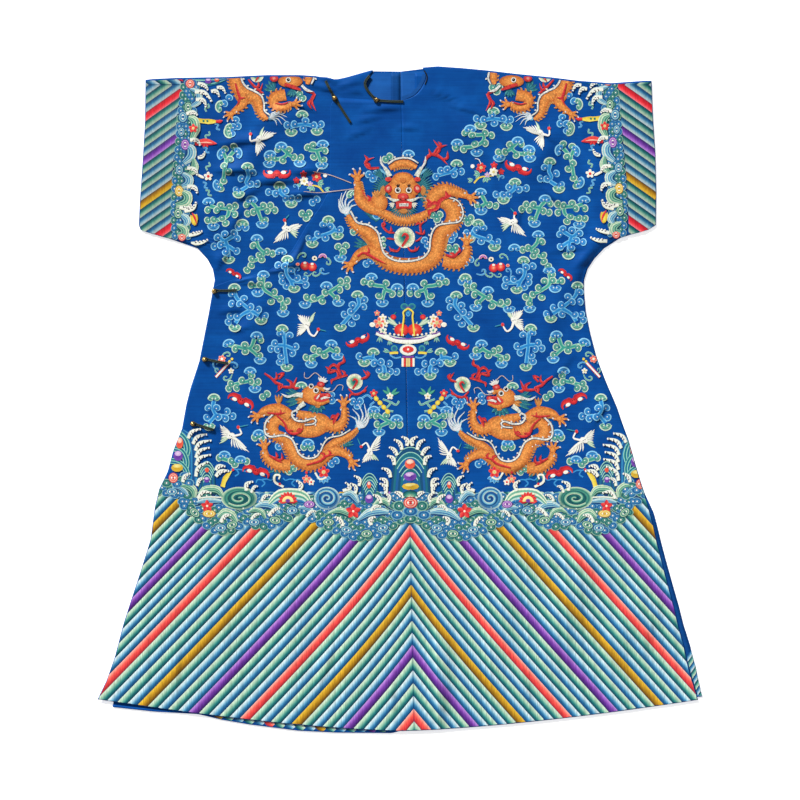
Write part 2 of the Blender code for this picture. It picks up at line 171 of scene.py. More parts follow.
def bent_y(x, row):
    """y of a front row at x: row + shoulder lift - its share of the hem's bow."""
    down = np.maximum((HEM_BOW_START - row) / SKIRT, 0.0)
    return row + shoulder_bend(x, row) - down * bow(x)


def back_y(x, row):
    """y of a back row at x: it bends towards the back hem instead."""
    down = np.maximum((HEM_BOW_START - row) / SKIRT, 0.0)
    return row + shoulder_bend(x, row) + down * (read(BACK_HEM, x) - HEM_CORNER)


def row_at(x, y):
    """The row that passes through (x, y): the bow is undone exactly, and the
    shoulder's bend by taking it off five times."""
    share = bow(x) / SKIRT
    row = np.where(y < HEM_BOW_START, (y + HEM_BOW_START * share) / (1.0 + share), y)
    for _ in range(5):
        row = np.where(y > 600, y - shoulder_bend(x, row), row)
    return row


print("hem at the centre:", round(float(bent_y(15.0, HEM_CORNER)), 1))

# %% [markdown]
# ## Folds and creases
# Satin that has been stored folded lies in long soft ridges, and pulls into short
# sharp creases at the underarm, the neck and the closures. Each is a row of a table:
# a cosine-soft ridge with a length, a width and a rise. The big ones are the same as
# in the solid frame, and the small ones are only in the cloth.

# %% fold tables
# panel, x, y, turn in degrees, length, width, rise
BIG_FOLDS = [
    ("front", 82, -560, 88, 290, 66, 7.0), ("front", 205, -470, 82, 330, 90, 4.5),
    ("front", 350, -430, 74, 380, 96, 5.5), ("front", 478, -470, 66, 280, 80, 4.0),
    ("front", -90, -500, 92, 330, 90, 4.0), ("front", -235, -450, 100, 400, 96, 5.0),
    ("front", -395, -440, 108, 330, 90, 5.0), ("front", 395, 300, 62, 200, 70, 6.0),
    ("front", 330, 205, 70, 260, 80, 4.5), ("front", 432, 60, 108, 260, 64, 4.0),
    ("front", -310, 160, 75, 240, 74, 5.0), ("front", -215, 300, 60, 120, 60, 4.0),
    ("front", 150, 560, 118, 210, 80, 5.0), ("front", 300, 520, 60, 260, 86, 4.5),
    ("front", 420, 450, 128, 240, 80, 4.5), ("right", -318, 500, 58, 190, 76, 5.0),
    ("right", -250, 590, 12, 150, 70, 4.0), ("right", -385, 375, 132, 190, 74, 5.5),
    ("right", -470, 520, 96, 220, 78, 4.0),
]
CREASES = [
    ("right", -345, 483, 0, 130, 18, 6.5), ("right", -262, 461, 2, 130, 18, 7.5),
    ("right", -325, 430, 29, 100, 16, 4.5), ("right", -190, 482, 6, 110, 18, 7.0),
    ("right", -198, 434, 5, 130, 18, 6.5), ("right", -335, 543, 8, 150, 18, 6.0),
    ("right", -378, 292, 55, 80, 16, 5.0), ("right", -404, 330, 40, 90, 18, 2.0),
    ("right", -350, 370, 62, 110, 16, 3.5), ("right", -430, 560, 80, 90, 14, 3.0),
    ("right", -160, 655, -12, 80, 12, 4.5), ("right", -104, 663, 14, 80, 11, 4.0),
    ("right", -98, 646, 8, 70, 10, 3.5), ("right", -150, 672, -24, 60, 10, 3.5),
    ("right", -205, 618, -20, 90, 14, 3.0), ("right", -262, 600, 30, 80, 14, 3.0),
    ("front", -33, 611, 4, 110, 12, 4.5), ("front", 18, 570, 0, 70, 10, 3.0),
    ("front", -70, 588, 12, 80, 12, 2.5), ("front", -88, 560, 20, 80, 14, 2.0),
    ("front", -216, 322, 66, 130, 24, 5.5), ("front", -228, 284, 2, 70, 12, 4.0),
    ("front", -321, 251, -11, 90, 14, 5.0), ("front", -264, 272, 0, 80, 12, 4.0),
    ("front", -350, 190, 8, 90, 14, 3.5), ("front", -330, 150, 20, 80, 12, 2.5),
    ("front", -372, 78, -6, 100, 14, 3.5), ("front", -400, -60, 12, 100, 14, 3.0),
    ("front", 325, 425, -43, 70, 14, 3.5), ("front", 247, 388, 84, 70, 14, 2.5),
    ("front", 402, 297, 22, 100, 16, 4.5), ("front", 388, 270, 40, 90, 14, 3.5),
    ("front", 352, 318, 6, 100, 14, 3.0), ("front", 420, -20, 62, 130, 16, 3.5),
    ("front", 300, 560, -30, 110, 16, 2.5), ("front", 90, 640, -24, 90, 12, 3.5),
    ("front", 140, 610, -14, 110, 12, 2.5), ("front", 205, 500, 74, 120, 18, 2.5),
    ("front", 330, 60, 48, 150, 18, 2.5), ("front", 240, -140, 30, 140, 18, 2.0),
    ("front", -260, -160, -24, 140, 18, 2.0), ("front", 84, -640, 86, 130, 16, 4.0),
    ("front", -20, -620, 96, 100, 14, 2.5), ("front", -160, -560, 70, 160, 18, 2.5),
    ("front", 260, -600, 98, 150, 18, 2.5), ("front", -470, -560, 84, 140, 18, 2.5),
    ("front", 520, -480, 72, 200, 20, 3.0), ("front", -300, -330, 6, 260, 18, 1.8),
    ("front", 330, -340, -4, 260, 18, 1.8), ("front", 18, -180, 90, 200, 14, 1.8),
]
GENTLE_REACH, STEEP_REACH = 2.8, 1.25
# painted shade at the foot of a crease: the rise that gives it in full, and where and how wide it lies
# across
DEEPEST, FOOT_AT, FOOT_REACH = 6.5, -0.9, 0.36


def folds_of(table, panel):
    """The rows of a fold table that lie on one panel."""
    return [fold for fold in table if fold[0] == panel]


def along_across(fold, x, y):
    """A fold's own measures: 1 at its middle to 0 at its ends, and half widths across."""
    _, fx, fy, turn, length, width, _ = fold
    c, s = math.cos(math.radians(turn)), math.sin(math.radians(turn))
    along = soft(1.0 - np.abs((x - fx) * c + (y - fy) * s) / (length / 2))
    return along, ((y - fy) * c - (x - fx) * s) / (width / 2)


def fold_rise(panel, x, y):
    """Sum of the big folds, rise * soft(1 - along) * soft(1 - |across|), and the
    highest crease. A crease leans over: it climbs slowly, (1 - across / 2.8)^1.6, and
    drops steeply on its lower side, which is what makes it look sharp."""
    waves, creases = np.zeros(np.shape(x)), np.zeros(np.shape(x))
    for fold in folds_of(BIG_FOLDS, panel):
        along, across = along_across(fold, x, y)
        waves = waves + fold[-1] * along * soft(1.0 - np.abs(across))
    for fold in folds_of(CREASES, panel):
        along, across = along_across(fold, x, y)
        climb = np.clip(1.0 - across / GENTLE_REACH, 0, 1) ** 1.6
        drop = soft(1.0 + across / STEEP_REACH)
        creases = np.maximum(creases, fold[-1] * along * np.where(across > 0, climb, drop))
    return waves + creases


def painted_crease_shade(panel, x, y):
    """Painted shade at the pinched foot of a crease, from 0 to 1:
    rise / 6.5 * along * e^(-((across + 0.9) / 0.36)^2)."""
    painted_shade = np.zeros(np.shape(x))
    for fold in folds_of(CREASES, panel):
        along, across = along_across(fold, x, y)
        foot = np.exp(-((across - FOOT_AT) / FOOT_REACH) ** 2)
        painted_shade = np.maximum(painted_shade, np.minimum(fold[-1] / DEEPEST, 1.0) * along * foot)
    return painted_shade


print("folds:", len(BIG_FOLDS), "creases:", len(CREASES))

# %% levels of the layers
CLOTH, UNDER_LEVEL, FLAP_LEVEL, SEWN_EDGE_LEVEL = 1.2, 3.9, 5.4, 2.2
SEWN_RIM, RIM_RAMP, FLAP_EDGE_RAMP, CENTRE_RAMP = 16.0, 30.0, 60.0, 120.0
BACK_LEVEL, LINING_LEVEL, TURNED_HEM_LEVEL = 1.0, 2.1, 2.4
NECK_START, COLLAR_CLEAR, COLLAR_RAMP = -50.0, 3.0, 12.0


def sunk(level, distance, row):
    """A layer sinks to the sewn side seam over its rim, above the vents."""
    low = SEWN_EDGE_LEVEL + (level - SEWN_EDGE_LEVEL) * soft(distance / SEWN_RIM)
    return np.where(row < VENT_TOP, level, low)


def left_level(x, y, row):
    """Left front: the flap's level at the centre seam, its own level further out."""
    end = read(LEFT_EDGE, row)
    near = 1.0 - soft((x - centre_x(y)) / CENTRE_RAMP)
    level = UNDER_LEVEL + (FLAP_LEVEL - UNDER_LEVEL) * near
    level = level + fold_rise("front", x, y) * soft((end - x) / RIM_RAMP)
    return sunk(level, end - x, row)


def right_level(x, y, row):
    """Right front and under flap: folds only where the outer flap leaves it bare."""
    start = read(RIGHT_EDGE, row)
    bare = soft((read(FLAP_EDGE, row) - x) / FLAP_EDGE_RAMP) * (row > FLAP_EDGE[-1, 0])
    above = soft((y - read(FLAP_TOP, x) - COLLAR_CLEAR) / COLLAR_RAMP)
    bare = np.maximum(bare, above * (x < NECK_START))
    rise = fold_rise("right", x, y) * bare * soft((x - start) / RIM_RAMP)
    return sunk(UNDER_LEVEL + rise, x - start, row)


def flap_start(row):
    """The flap's free edge, and the side edge below it."""
    return np.where(row > FLAP_EDGE[-1, 0], read(FLAP_EDGE, row), read(RIGHT_EDGE, row))


def flap_level(x, y, row):
    """Outer flap: one cloth above the right front, with the front's folds."""
    return FLAP_LEVEL + fold_rise("front", x, y) * soft((x - flap_start(row)) / RIM_RAMP)


def on_flap(x, y, row):
    """True where the outer flap is the uppermost cloth."""
    inside = (x >= flap_start(row)) & (x <= centre_x(y))
    return inside & (y <= read(FLAP_TOP, x))


def front_top(x, y):
    """Height of the uppermost cloth of the front."""
    row = row_at(x, y)
    level = np.where(x > centre_x(y), left_level(x, y, row), right_level(x, y, row))
    return np.where(on_flap(x, y, row), flap_level(x, y, row), level) + CLOTH / 2


def front_painted_crease_shade(x, y):
    """Painted crease shade of the uppermost cloth, from 0 to 1."""
    front = on_flap(x, y, row_at(x, y)) | (x > centre_x(y))
    return np.where(front, painted_crease_shade("front", x, y), painted_crease_shade("right", x, y))


STEP, TABLE_HALF = 3.0, 720.0
table_places = np.arange(-TABLE_HALF, TABLE_HALF + 1.0, STEP)
table_x, table_y = np.meshgrid(table_places, table_places, indexing="ij")
# the height of the uppermost cloth, and the painted crease shade on it, as tables for the needlework
heights, painted_crease_shades = front_top(table_x, table_y), front_painted_crease_shade(table_x, table_y)
for axis in (0, 1):
    beside = np.maximum(np.roll(heights, 1, axis), np.roll(heights, -1, axis))
    heights = np.maximum(heights, beside)


def read_grid(values, x, y):
    """A table of the whole robe read between its places, as
    (1 - u)(1 - v) a + u (1 - v) b + (1 - u) v c + u v d."""
    u = (np.asarray(x) + TABLE_HALF) / STEP
    v = (np.asarray(y) + TABLE_HALF) / STEP
    i, j = u.astype(int), v.astype(int)
    u, v = u - i, v - j
    return ((1 - u) * (1 - v) * values[i, j] + u * (1 - v) * values[i + 1, j]
            + (1 - u) * v * values[i, j + 1] + u * v * values[i + 1, j + 1])


def sewn_top(x, y):
    """Where needlework lies: the highest cloth within 3 mm."""
    return read_grid(heights, x, y)


print("cloth top at the chest:", round(float(sewn_top(100.0, 400.0)), 2))

# %% [markdown]
# ## Cloth
# Each panel is a grid of points lofted through its rows, and Solidify gives it the
# thickness of satin with its backing. A body length is one grid: turned hem, back,
# half a turn over the shoulder, then the front, so the shoulder has no seam.

# %% a mesh from a grid
def mesh_object(name, points, triangles):
    """A mesh from whole arrays of points in millimetres and triangles."""
    mesh = bpy.data.meshes.new(name)
    mesh.vertices.add(len(points))
    mesh.vertices.foreach_set("co", (points * MM).astype(np.float32).ravel())
    mesh.loops.add(triangles.size)
    mesh.loops.foreach_set("vertex_index", triangles.astype(np.int32).ravel())
    mesh.polygons.add(len(triangles))
    mesh.polygons.foreach_set("loop_start", np.arange(0, triangles.size, 3, dtype=np.int32))
    mesh.update(calc_edges=True)
    mesh.validate()
    mesh.shade_smooth()
    thing = bpy.data.objects.new(name, mesh)
    bpy.context.scene.collection.objects.link(thing)
    return thing


def grid_triangles(rows, columns, wrap=False):
    """Two triangles for each cell of a grid, (r, c) numbered r * columns + c."""
    r, c = np.meshgrid(np.arange(rows - 1), np.arange(columns if wrap else columns - 1),
                       indexing="ij")
    a = r * columns + c
    b = r * columns + (c + 1) % columns
    lower = np.stack([a, a + columns, b + columns], -1).reshape(-1, 3)
    upper = np.stack([a, b + columns, b], -1).reshape(-1, 3)
    return np.concatenate([lower, upper])


def thicken(piece, thickness, offset):
    """Gives a surface its thickness: about its middle at offset 0, below it at -1."""
    wall = piece.modifiers.new("Solidify", "SOLIDIFY")
    wall.thickness = thickness * MM
    wall.offset = offset


def cloth(name, grid, thickness, node, material):
    """A panel of cloth from its grid of points, with its thickness and material, in place of a part of the
    frame.
    """
    panel = mesh_object(name, grid.reshape(-1, 3), grid_triangles(*grid.shape[:2]))
    thicken(panel, thickness, 0.0)
    panel.data.materials.append(material)
    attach(panel, "root")
    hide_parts(node)
    return panel


print("triangles in a cell of a grid:", len(grid_triangles(2, 2)))

# %% [markdown]
# ## Materials
# The ground is silk satin: long floats of warp over a fine weft, so it is smooth, has
# a broad soft highlight and shows a faint crosswise rib where the light grazes it.
# Real satin has about 60 threads in a centimetre, far finer than a picture of the
# whole robe can show, so the weave here is drawn ten times coarser.

# %% shader helpers
def add_node(tree, kind, links=(), **settings):
    """Adds one node, sets its properties or inputs by name, and links its inputs."""
    node = tree.nodes.new(kind)
    for key, value in settings.items():
        if hasattr(node, key):
            setattr(node, key, value)
        else:
            node.inputs[key.replace("_", " ")].default_value = value
    for target, source in links:
        tree.links.new(source, node.inputs[target])
    return node


def start_material(name, **shader):
    """A material with its Principled shader's own sockets set."""
    material = bpy.data.materials.new(name)
    material.use_nodes = True
    tree = material.node_tree
    principled = tree.nodes["Principled BSDF"]
    for key, value in shader.items():
        principled.inputs[key.replace("_", " ")].default_value = value
    return material, tree, principled


def colour_mix(tree, factor, dark, light):
    """Mix of two linear colours by a factor output."""
    ramp = add_node(tree, "ShaderNodeValToRGB", [("Fac", factor)])
    ramp.color_ramp.elements[0].color = (*dark, 1.0)
    ramp.color_ramp.elements[1].color = (*light, 1.0)
    return ramp


WAVE_PERIOD = 2 * math.pi / 20.0 * 1000.0


def weave_bump(tree, principled, coordinate, warp, weft, strength):
    """Bump of two crossed bands: warp and weft spacings in millimetres. A wave texture
    of scale 1 repeats every 314 mm."""
    bands = []
    for spacing, direction in ((warp, "X"), (weft, "Y")):
        band = add_node(tree, "ShaderNodeTexWave", [("Vector", coordinate)],
                        bands_direction=direction, Scale=WAVE_PERIOD / spacing)
        bands.append(band.outputs["Fac"])
    both = add_node(tree, "ShaderNodeMath", [(0, bands[0]), (1, bands[1])], operation="MULTIPLY")
    bump = add_node(tree, "ShaderNodeBump", [("Height", both.outputs[0])],
                    Strength=strength, Distance=0.0004)
    tree.links.new(bump.outputs["Normal"], principled.inputs["Normal"])
    return bump


# how far the painted crease shade darkens satin and floss at its deepest
PAINTED_CREASE_SHADE = 0.72


def satin_material(name, base, dark, light, roughness):
    """Silk satin: cloudy dye, soft sheen and a weave bump, all on Object coordinates."""
    material, tree, principled = start_material(
        name, Roughness=roughness, Specular_IOR_Level=0.15,
        Specular_Tint=(0.3, 0.55, 1.0, 1.0),
    )
    place = add_node(tree, "ShaderNodeTexCoord").outputs["Object"]
    cloud = add_node(tree, "ShaderNodeTexNoise", [("Vector", place)], Scale=14.0, Detail=8.0,
                     Roughness=0.62)
    tint = colour_mix(tree, cloud.outputs["Fac"], dark, light)
    tint.color_ramp.elements[0].position = 0.32
    tint.color_ramp.elements[1].position = 0.68
    middle = tint.color_ramp.elements.new(0.5)
    middle.color = (*base, 1.0)
    stretch = add_node(tree, "ShaderNodeMapping", [("Vector", place)], Scale=(9.0, 260.0, 1.0))
    slubs = add_node(tree, "ShaderNodeTexNoise", [("Vector", stretch.outputs["Vector"])], Scale=1.0,
                     Detail=4.0)
    glow = add_node(tree, "ShaderNodeMapRange", [("Value", slubs.outputs["Fac"])],
                    From_Min=0.3, From_Max=0.7, To_Min=0.9, To_Max=1.12)
    streaked = add_node(tree, "ShaderNodeVectorMath",
                        [(0, tint.outputs["Color"]), ("Scale", glow.outputs["Result"])],
                        operation="SCALE")
    # painted shade: the colour is darkened at the foot of each crease, from the point attribute written on
    # the front panels
    crease_shade_attribute = add_node(tree, "ShaderNodeAttribute", attribute_name="painted_crease_shade")
    depth = add_node(tree, "ShaderNodeMapRange", [("Value", crease_shade_attribute.outputs["Fac"])],
                     To_Min=1.0, To_Max=1.0 - PAINTED_CREASE_SHADE)
    shaded = add_node(tree, "ShaderNodeVectorMath",
                      [(0, streaked.outputs["Vector"]), ("Scale", depth.outputs["Result"])],
                      operation="SCALE")
    tree.links.new(shaded.outputs["Vector"], principled.inputs["Base Color"])
    weave_bump(tree, principled, place, 1.8, 1.4, 0.22)
    return material


satin = satin_material("silk satin, royal blue", linear("#084892"), linear("#064089"),
                       linear("#0b529f"), 0.5)
lining_silk = satin_material("plain silk lining, blue", linear("#0f4586"), linear("#0c3f7d"),
                             linear("#144c8e"), 0.58)
facing_silk = satin_material("plain silk facing, mid blue", linear("#164a8c"),
                             linear("#124383"), linear("#1c5598"), 0.6)
print("cloth materials: 3")

# %% [markdown]
# ## The five panels and their lining
# The rows are closer together on the front, where the creases are, than on the back,
# which lies flat. The cells are about 5 mm across, a third of a crease.

# %% body lengths
FRONT_STEP, BACK_STEP, CELLS, TURN_STEPS = 5.0, 22.0, 104, 5
HEM_ALLOWANCE, TURNED_ALLOWANCE, TURNED_RAMP = 4.0, 34.0, 34.0
TURNED_FROM, TURNED_TO = -385.0, -12.0
SEAM = 0.04
LEFT_NECK_ROW, RIGHT_NECK_ROW, TOP_BACK_ROW = 627, 560, 669.0
UNDER_FLAP_SHORT, UNDER_HEM_LIFT, UNDER_SIDE_INSET = 24.0, 34.0, 6.0
SIDES = ((1, "left"), (-1, "right"))


def turned_allowance(x):
    """Width of the back hem that is turned up to the front at x."""
    share = soft((x - TURNED_FROM) / TURNED_RAMP) * soft((TURNED_TO - x) / TURNED_RAMP)
    return HEM_ALLOWANCE + (TURNED_ALLOWANCE - HEM_ALLOWANCE) * share


def spread(start, end, cells):
    """Columns of every row: start + (end - start) * u."""
    u = np.linspace(0.0, 1.0, cells + 1)[None, :]
    return start[:, None] + (end - start)[:, None] * u


def back_grid(rows, side, inset=0.0, level=BACK_LEVEL):
    """Back length: from the side edge to the centre seam, flat at one level."""
    edge, shows = (LEFT_EDGE, BACK_SHOWS_LEFT) if side > 0 else (RIGHT_EDGE, BACK_SHOWS_RIGHT)
    outer = read(edge, rows) + side * (read(shows, rows) - inset)
    seam = centre_x(rows) + side * SEAM
    x = spread(seam, outer, CELLS) if side > 0 else spread(outer, seam, CELLS)
    row = np.broadcast_to(rows[:, None], x.shape)
    return np.stack([x, back_y(x, row), np.full(x.shape, level)], -1)


def half_turn(low, high, forward):
    """Rows of a half circle from the low row to the high one."""
    angle = (-math.pi / 2 + math.pi * np.arange(1, TURN_STEPS) / TURN_STEPS)[:, None, None]
    share = (1.0 + np.sin(angle)) / 2
    rows = low[None] + (high - low)[None] * share
    radius = (high[..., 2] - low[..., 2])[None, :, None] / 2
    rows[..., 1:2] += forward * radius * np.cos(angle)
    return rows


def left_front_grid(rows):
    """Left front: from the neckline or centre seam to the side edge."""
    start = np.where(rows > LEFT_NECK_ROW, read(NECK_LEFT, rows), centre_x(rows) + SEAM)
    x = spread(start, read(LEFT_EDGE, rows), CELLS)
    row = np.broadcast_to(rows[:, None], x.shape)
    y = bent_y(x, row)
    return np.stack([x, y, left_level(x, y, row)], -1)


def right_front_grid(rows):
    """Right front and under flap: its rows are lifted towards the hem, by 34 mm there,
    so that it hides behind the outer flap."""
    down = np.maximum((HEM_BOW_START - rows) / SKIRT, 0.0)
    lifted = rows + UNDER_HEM_LIFT * down
    start = read(RIGHT_EDGE, lifted) + UNDER_SIDE_INSET * down
    front_edge = centre_x(rows) - UNDER_FLAP_SHORT
    end = np.where(rows > RIGHT_NECK_ROW, read(NECK_RIGHT, rows), front_edge)
    x = spread(start, end, CELLS)
    row = np.broadcast_to(lifted[:, None], x.shape)
    y = bent_y(x, row)
    return np.stack([x, y, right_level(x, y, row)], -1)


def body_length(side, front_grid):
    """Turned hem, back, shoulder fold and front as one grid."""
    back = back_grid(np.arange(HEM_CORNER, TOP_BACK_ROW, BACK_STEP), side)
    top = back_grid(np.array([TOP_BACK_ROW]), side)
    hem = back[0]
    turned = hem.copy()
    turned[:, 2] = TURNED_HEM_LEVEL
    tucked = turned.copy()
    tucked[:, 1] += turned_allowance(turned[:, 0])
    front = front_grid(np.arange(SHOULDER_LEVEL, HEM_CORNER - 0.1, -FRONT_STEP)[:-1])
    last = front_grid(np.array([HEM_CORNER]))
    ridge = front[0]
    low = ridge.copy()
    low[:, 2] = BACK_LEVEL
    parts = [tucked[None], turned[None], half_turn(hem, turned, -1)[::-1], back, top,
             low[None], half_turn(low, ridge, 1), front, last]
    return np.concatenate(parts)


left_grid = body_length(1, left_front_grid)
right_grid = body_length(-1, right_front_grid)
left_body = cloth("satin_left_length", left_grid, CLOTH, "body_left",
                  satin)
right_body = cloth("satin_right_length", right_grid, CLOTH, "body_right",
                   satin)

# %% outer flap
FLAP_TOP_ROW, FLAP_SECOND_ROW = 634.0, 622.0


def flap_grid(rows):
    """Outer flap: from its free edge to the centre seam, its top row on the collar line."""
    x = spread(flap_start(rows), centre_x(rows) - SEAM, CELLS)
    row = np.broadcast_to(rows[:, None], x.shape)
    y = np.where(row == rows[0], read(FLAP_TOP, x), bent_y(x, row))
    return np.stack([x, y, flap_level(x, y, row)], -1)


flap_rows = np.append([FLAP_TOP_ROW], np.arange(FLAP_SECOND_ROW, HEM_CORNER, -FRONT_STEP))
whole_flap = flap_grid(np.append(flap_rows, HEM_CORNER))
flap = cloth("satin_outer_flap", whole_flap, CLOTH, "outer_flap", satin)


def write_painted_crease_shade(panel, grid, owner):
    """Writes the painted crease shade of each point of the front, for the satin to darken:
    a pinched crease lets little light in at its foot, and that shade is painted into the colour."""
    x, y, z = grid.reshape(-1, 3).T
    painted_shade = painted_crease_shade(owner, x, y) * (z > TURNED_HEM_LEVEL + 0.1)
    mark = panel.data.attributes.new("painted_crease_shade", "FLOAT", "POINT")
    mark.data.foreach_set("value", painted_shade.astype(np.float32))


# painted crease shade for the three front panels
write_painted_crease_shade(left_body, left_grid, "front")
write_painted_crease_shade(right_body, right_grid, "right")
write_painted_crease_shade(flap, whole_flap, "front")

# %% back lining
LINING, SEAM_INSET, VENT_INSET = 0.6, 20.0, 2.0


def lining_grid(side):
    """Lining: inside the sewn seams by 20 mm, inside the vents and the hem by 2 mm."""
    rows = np.array([668, 520, 380, 356, 340, 325, 300, 260, 190, 40, -100, -204, -217,
                     -320, -416, -560, HEM_CORNER], float)
    inset = np.where(rows > VENT_TOP, SEAM_INSET, VENT_INSET)
    grid = back_grid(rows, side, inset, LINING_LEVEL)
    grid[-1, :, 1] += turned_allowance(grid[-1, :, 0]) + VENT_INSET
    return grid


for side, name in SIDES:
    cloth(f"silk_lining_{name}", lining_grid(side), LINING, f"lining_{name}",
          lining_silk)

# %% [markdown]
# ## Camera, light and floor
# The robe lies on a pale surface and the camera looks straight down at it. A sun to
# the upper left gives the folds their shading. It stands low, so that creases throw
# shadows, and it is eleven degrees wide, so that their edges are soft. Two large lamps
# and a pale sky fill the shadows.

# %% stage
VIEW_WIDTH, CAMERA_HEIGHT = 1.68, 3.4
SENSOR_WIDTH = 36.0
SUN_STRENGTH, SUN_WIDTH = 4.9, 11.0
FLOOR_HALF, FLOOR_LEVEL = 6000.0, -0.6


def stand(name, data, place, aim):
    """Puts a camera or lamp at a place, aimed at a point."""
    thing = bpy.data.objects.new(name, data)
    bpy.context.scene.collection.objects.link(thing)
    thing.location = place
    thing.rotation_euler = (Vector(aim) - Vector(place)).to_track_quat("-Z", "Y").to_euler()
    return thing


camera_data = bpy.data.cameras.new("camera")
camera_data.sensor_width = SENSOR_WIDTH
camera_data.lens = SENSOR_WIDTH * CAMERA_HEIGHT / VIEW_WIDTH
camera = stand("camera", camera_data, (0.0, 0.0, CAMERA_HEIGHT), (0.0, 0.0, 0.0))
camera.rotation_euler = (0.0, 0.0, 0.0)
bpy.context.scene.camera = camera


def lamp(name, place, size, power, tint):
    """A soft square lamp aimed at the robe."""
    data = bpy.data.lights.new(name, "AREA")
    data.size = size
    data.energy = power
    data.color = tint
    return stand(name, data, place, (0.0, 0.0, 0.0))


sun_data = bpy.data.lights.new("key", "SUN")
sun_data.energy = SUN_STRENGTH
sun_data.angle = math.radians(SUN_WIDTH)
stand("key", sun_data, (-1.3, 2.1, 1.35), (0.0, 0.0, 0.0))
lamp("fill", (1.9, -0.8, 2.4), 2.2, 8.0, (0.96, 0.98, 1.0))
lamp("overhead", (0.0, 0.2, 3.9), 2.6, 10.0, (1.0, 1.0, 1.0))

world = bpy.data.worlds.new("studio")
bpy.context.scene.world = world
world.use_nodes = True
sky = world.node_tree.nodes["Background"]
sky.inputs["Color"].default_value = (1.0, 1.0, 1.0, 1.0)
sky.inputs["Strength"].default_value = 0.25
bpy.context.scene.view_settings.view_transform = "Standard"

# matt white card: half of its light is its own, so it stays an even white
floor_paper, _, _ = start_material(
    "white card, lit from behind", Roughness=0.9, Base_Color=(1.0, 1.0, 1.0, 1.0),
    Emission_Strength=0.5, Emission_Color=(1.0, 1.0, 1.0, 1.0),
)
corners = np.array([(-1, -1), (1, -1), (1, 1), (-1, 1)]) * FLOOR_HALF
floor = mesh_object("floor", np.column_stack([corners, np.full(4, FLOOR_LEVEL)]),
                    np.array([(0, 1, 2), (0, 2, 3)]))
floor.data.materials.append(floor_paper)
print("camera at", CAMERA_HEIGHT, "m over", VIEW_WIDTH, "m of floor")

# %% [markdown]
# ## Closures
# The flap closes with five gilt ball buttons. Each sits in a loop of doubled silk cord,
# which is couched down side by side: one strand runs out, goes round the ball and
# comes back. At the neck and the collarbone a strap of the same cord carries the ball.
# The chased balls are brass under gilding, bright on top and dull in the grooves.

# %% cords and balls
BALL, STRAND, RING, CORD_LIFT = 5.0, 1.45, 4.6, 0.5
NECK_ROWS = np.arange(590, 690, 8.0)
CLOSURES = {
    "neck": ((-49.4, 628), ((8, 625), (-20, 625.5), (-40, 627)),
             ((-63, 681), (-73, 666), (-70, 652), (-57, 636))),
    "collarbone": ((-137, 632), ((-103, 580), (-116, 600), (-130, 622)),
                   ((-156, 669), (-150, 656), (-142, 642))),
    "underarm": ((-389, 228), ((-342, 230), (-362, 229), (-380, 229)), None),
    "side": ((-409, 85), ((-359, 76), (-380, 80), (-400, 84)), None),
    "hip": ((-434, -50), ((-390, -63), (-408, -57), (-425, -52)), None),
}


def curve(line, count):
    """Catmull-Rom curve through the line's points, at count even places: the weights
    of four neighbouring points at each share f."""
    line = np.asarray(line, float)
    ends = np.vstack([2 * line[0] - line[1], line, 2 * line[-1] - line[-2]])
    t = np.linspace(0, len(line) - 1, count)
    i = np.minimum(t.astype(int), len(line) - 2)
    f = (t - i)[:, None]
    a, b, c, d = ends[i], ends[i + 1], ends[i + 2], ends[i + 3]
    return 0.5 * (2 * b + (c - a) * f + (2 * a - 5 * b + 4 * c - d) * f ** 2
                  + (3 * b - 3 * c + d - a) * f ** 3)


def headings(path):
    """Directions of length 1 along a flat path, and to its left."""
    ahead = np.gradient(path, axis=0)
    ahead /= np.linalg.norm(ahead, axis=1, keepdims=True) + 1e-9
    return ahead, np.stack([-ahead[:, 1], ahead[:, 0]], -1)


def run_along(path):
    """Length of a path from its start to each of its points."""
    return np.append(0, np.cumsum(np.linalg.norm(np.diff(path, axis=0), axis=1)))


def tube(path, radius, around=7):
    """Rings round a path: path + radius * (side * cos a + up * sin a), with cone ends."""
    ahead = np.gradient(path, axis=0)
    ahead /= np.linalg.norm(ahead, axis=1, keepdims=True)
    side = np.stack([-ahead[:, 1], ahead[:, 0], 0 * ahead[:, 0]], -1)
    side /= np.linalg.norm(side, axis=1, keepdims=True) + 1e-9
    up = np.cross(ahead, side)
    a = np.arange(around) * 2 * math.pi / around
    swell = np.full(len(path), radius)
    swell[[0, -1]] = 0.05
    rings = path[:, None] + swell[:, None, None] * (side[:, None] * np.cos(a)[None, :, None]
                                                    + up[:, None] * np.sin(a)[None, :, None])
    places = np.stack([np.broadcast_to(run_along(path)[:, None], rings.shape[:2]),
                       np.broadcast_to(a * radius, rings.shape[:2])], -1)
    return rings.reshape(-1, 3), grid_triangles(len(path), around, True), places.reshape(-1, 2)


def laid(line, height):
    """Flat points lifted onto the cloth: z is the highest cloth within 3 mm, plus height."""
    line = np.asarray(line, float)
    near = [front_top(line[:, 0] + dx, line[:, 1] + dy)
            for dx, dy in ((0, 0), (3, 0), (-3, 0), (0, 3), (0, -3))]
    return np.column_stack([line, np.max(near, axis=0) + height])


def doubled(line, ball):
    """The doubled cord: out beside the line, round the ball, and back beside it."""
    path = curve(line, 12)
    beside = STRAND * headings(path)[1]
    forward = math.atan2(*(np.array(ball) - path[-1])[::-1])
    turns = forward + math.pi + np.radians((50, 100, 150, 180, 210, 260, 310))
    ring = np.array(ball) + RING * np.stack([np.cos(turns), np.sin(turns)], -1)
    return np.concatenate([path - beside, ring, (path + beside)[::-1]])


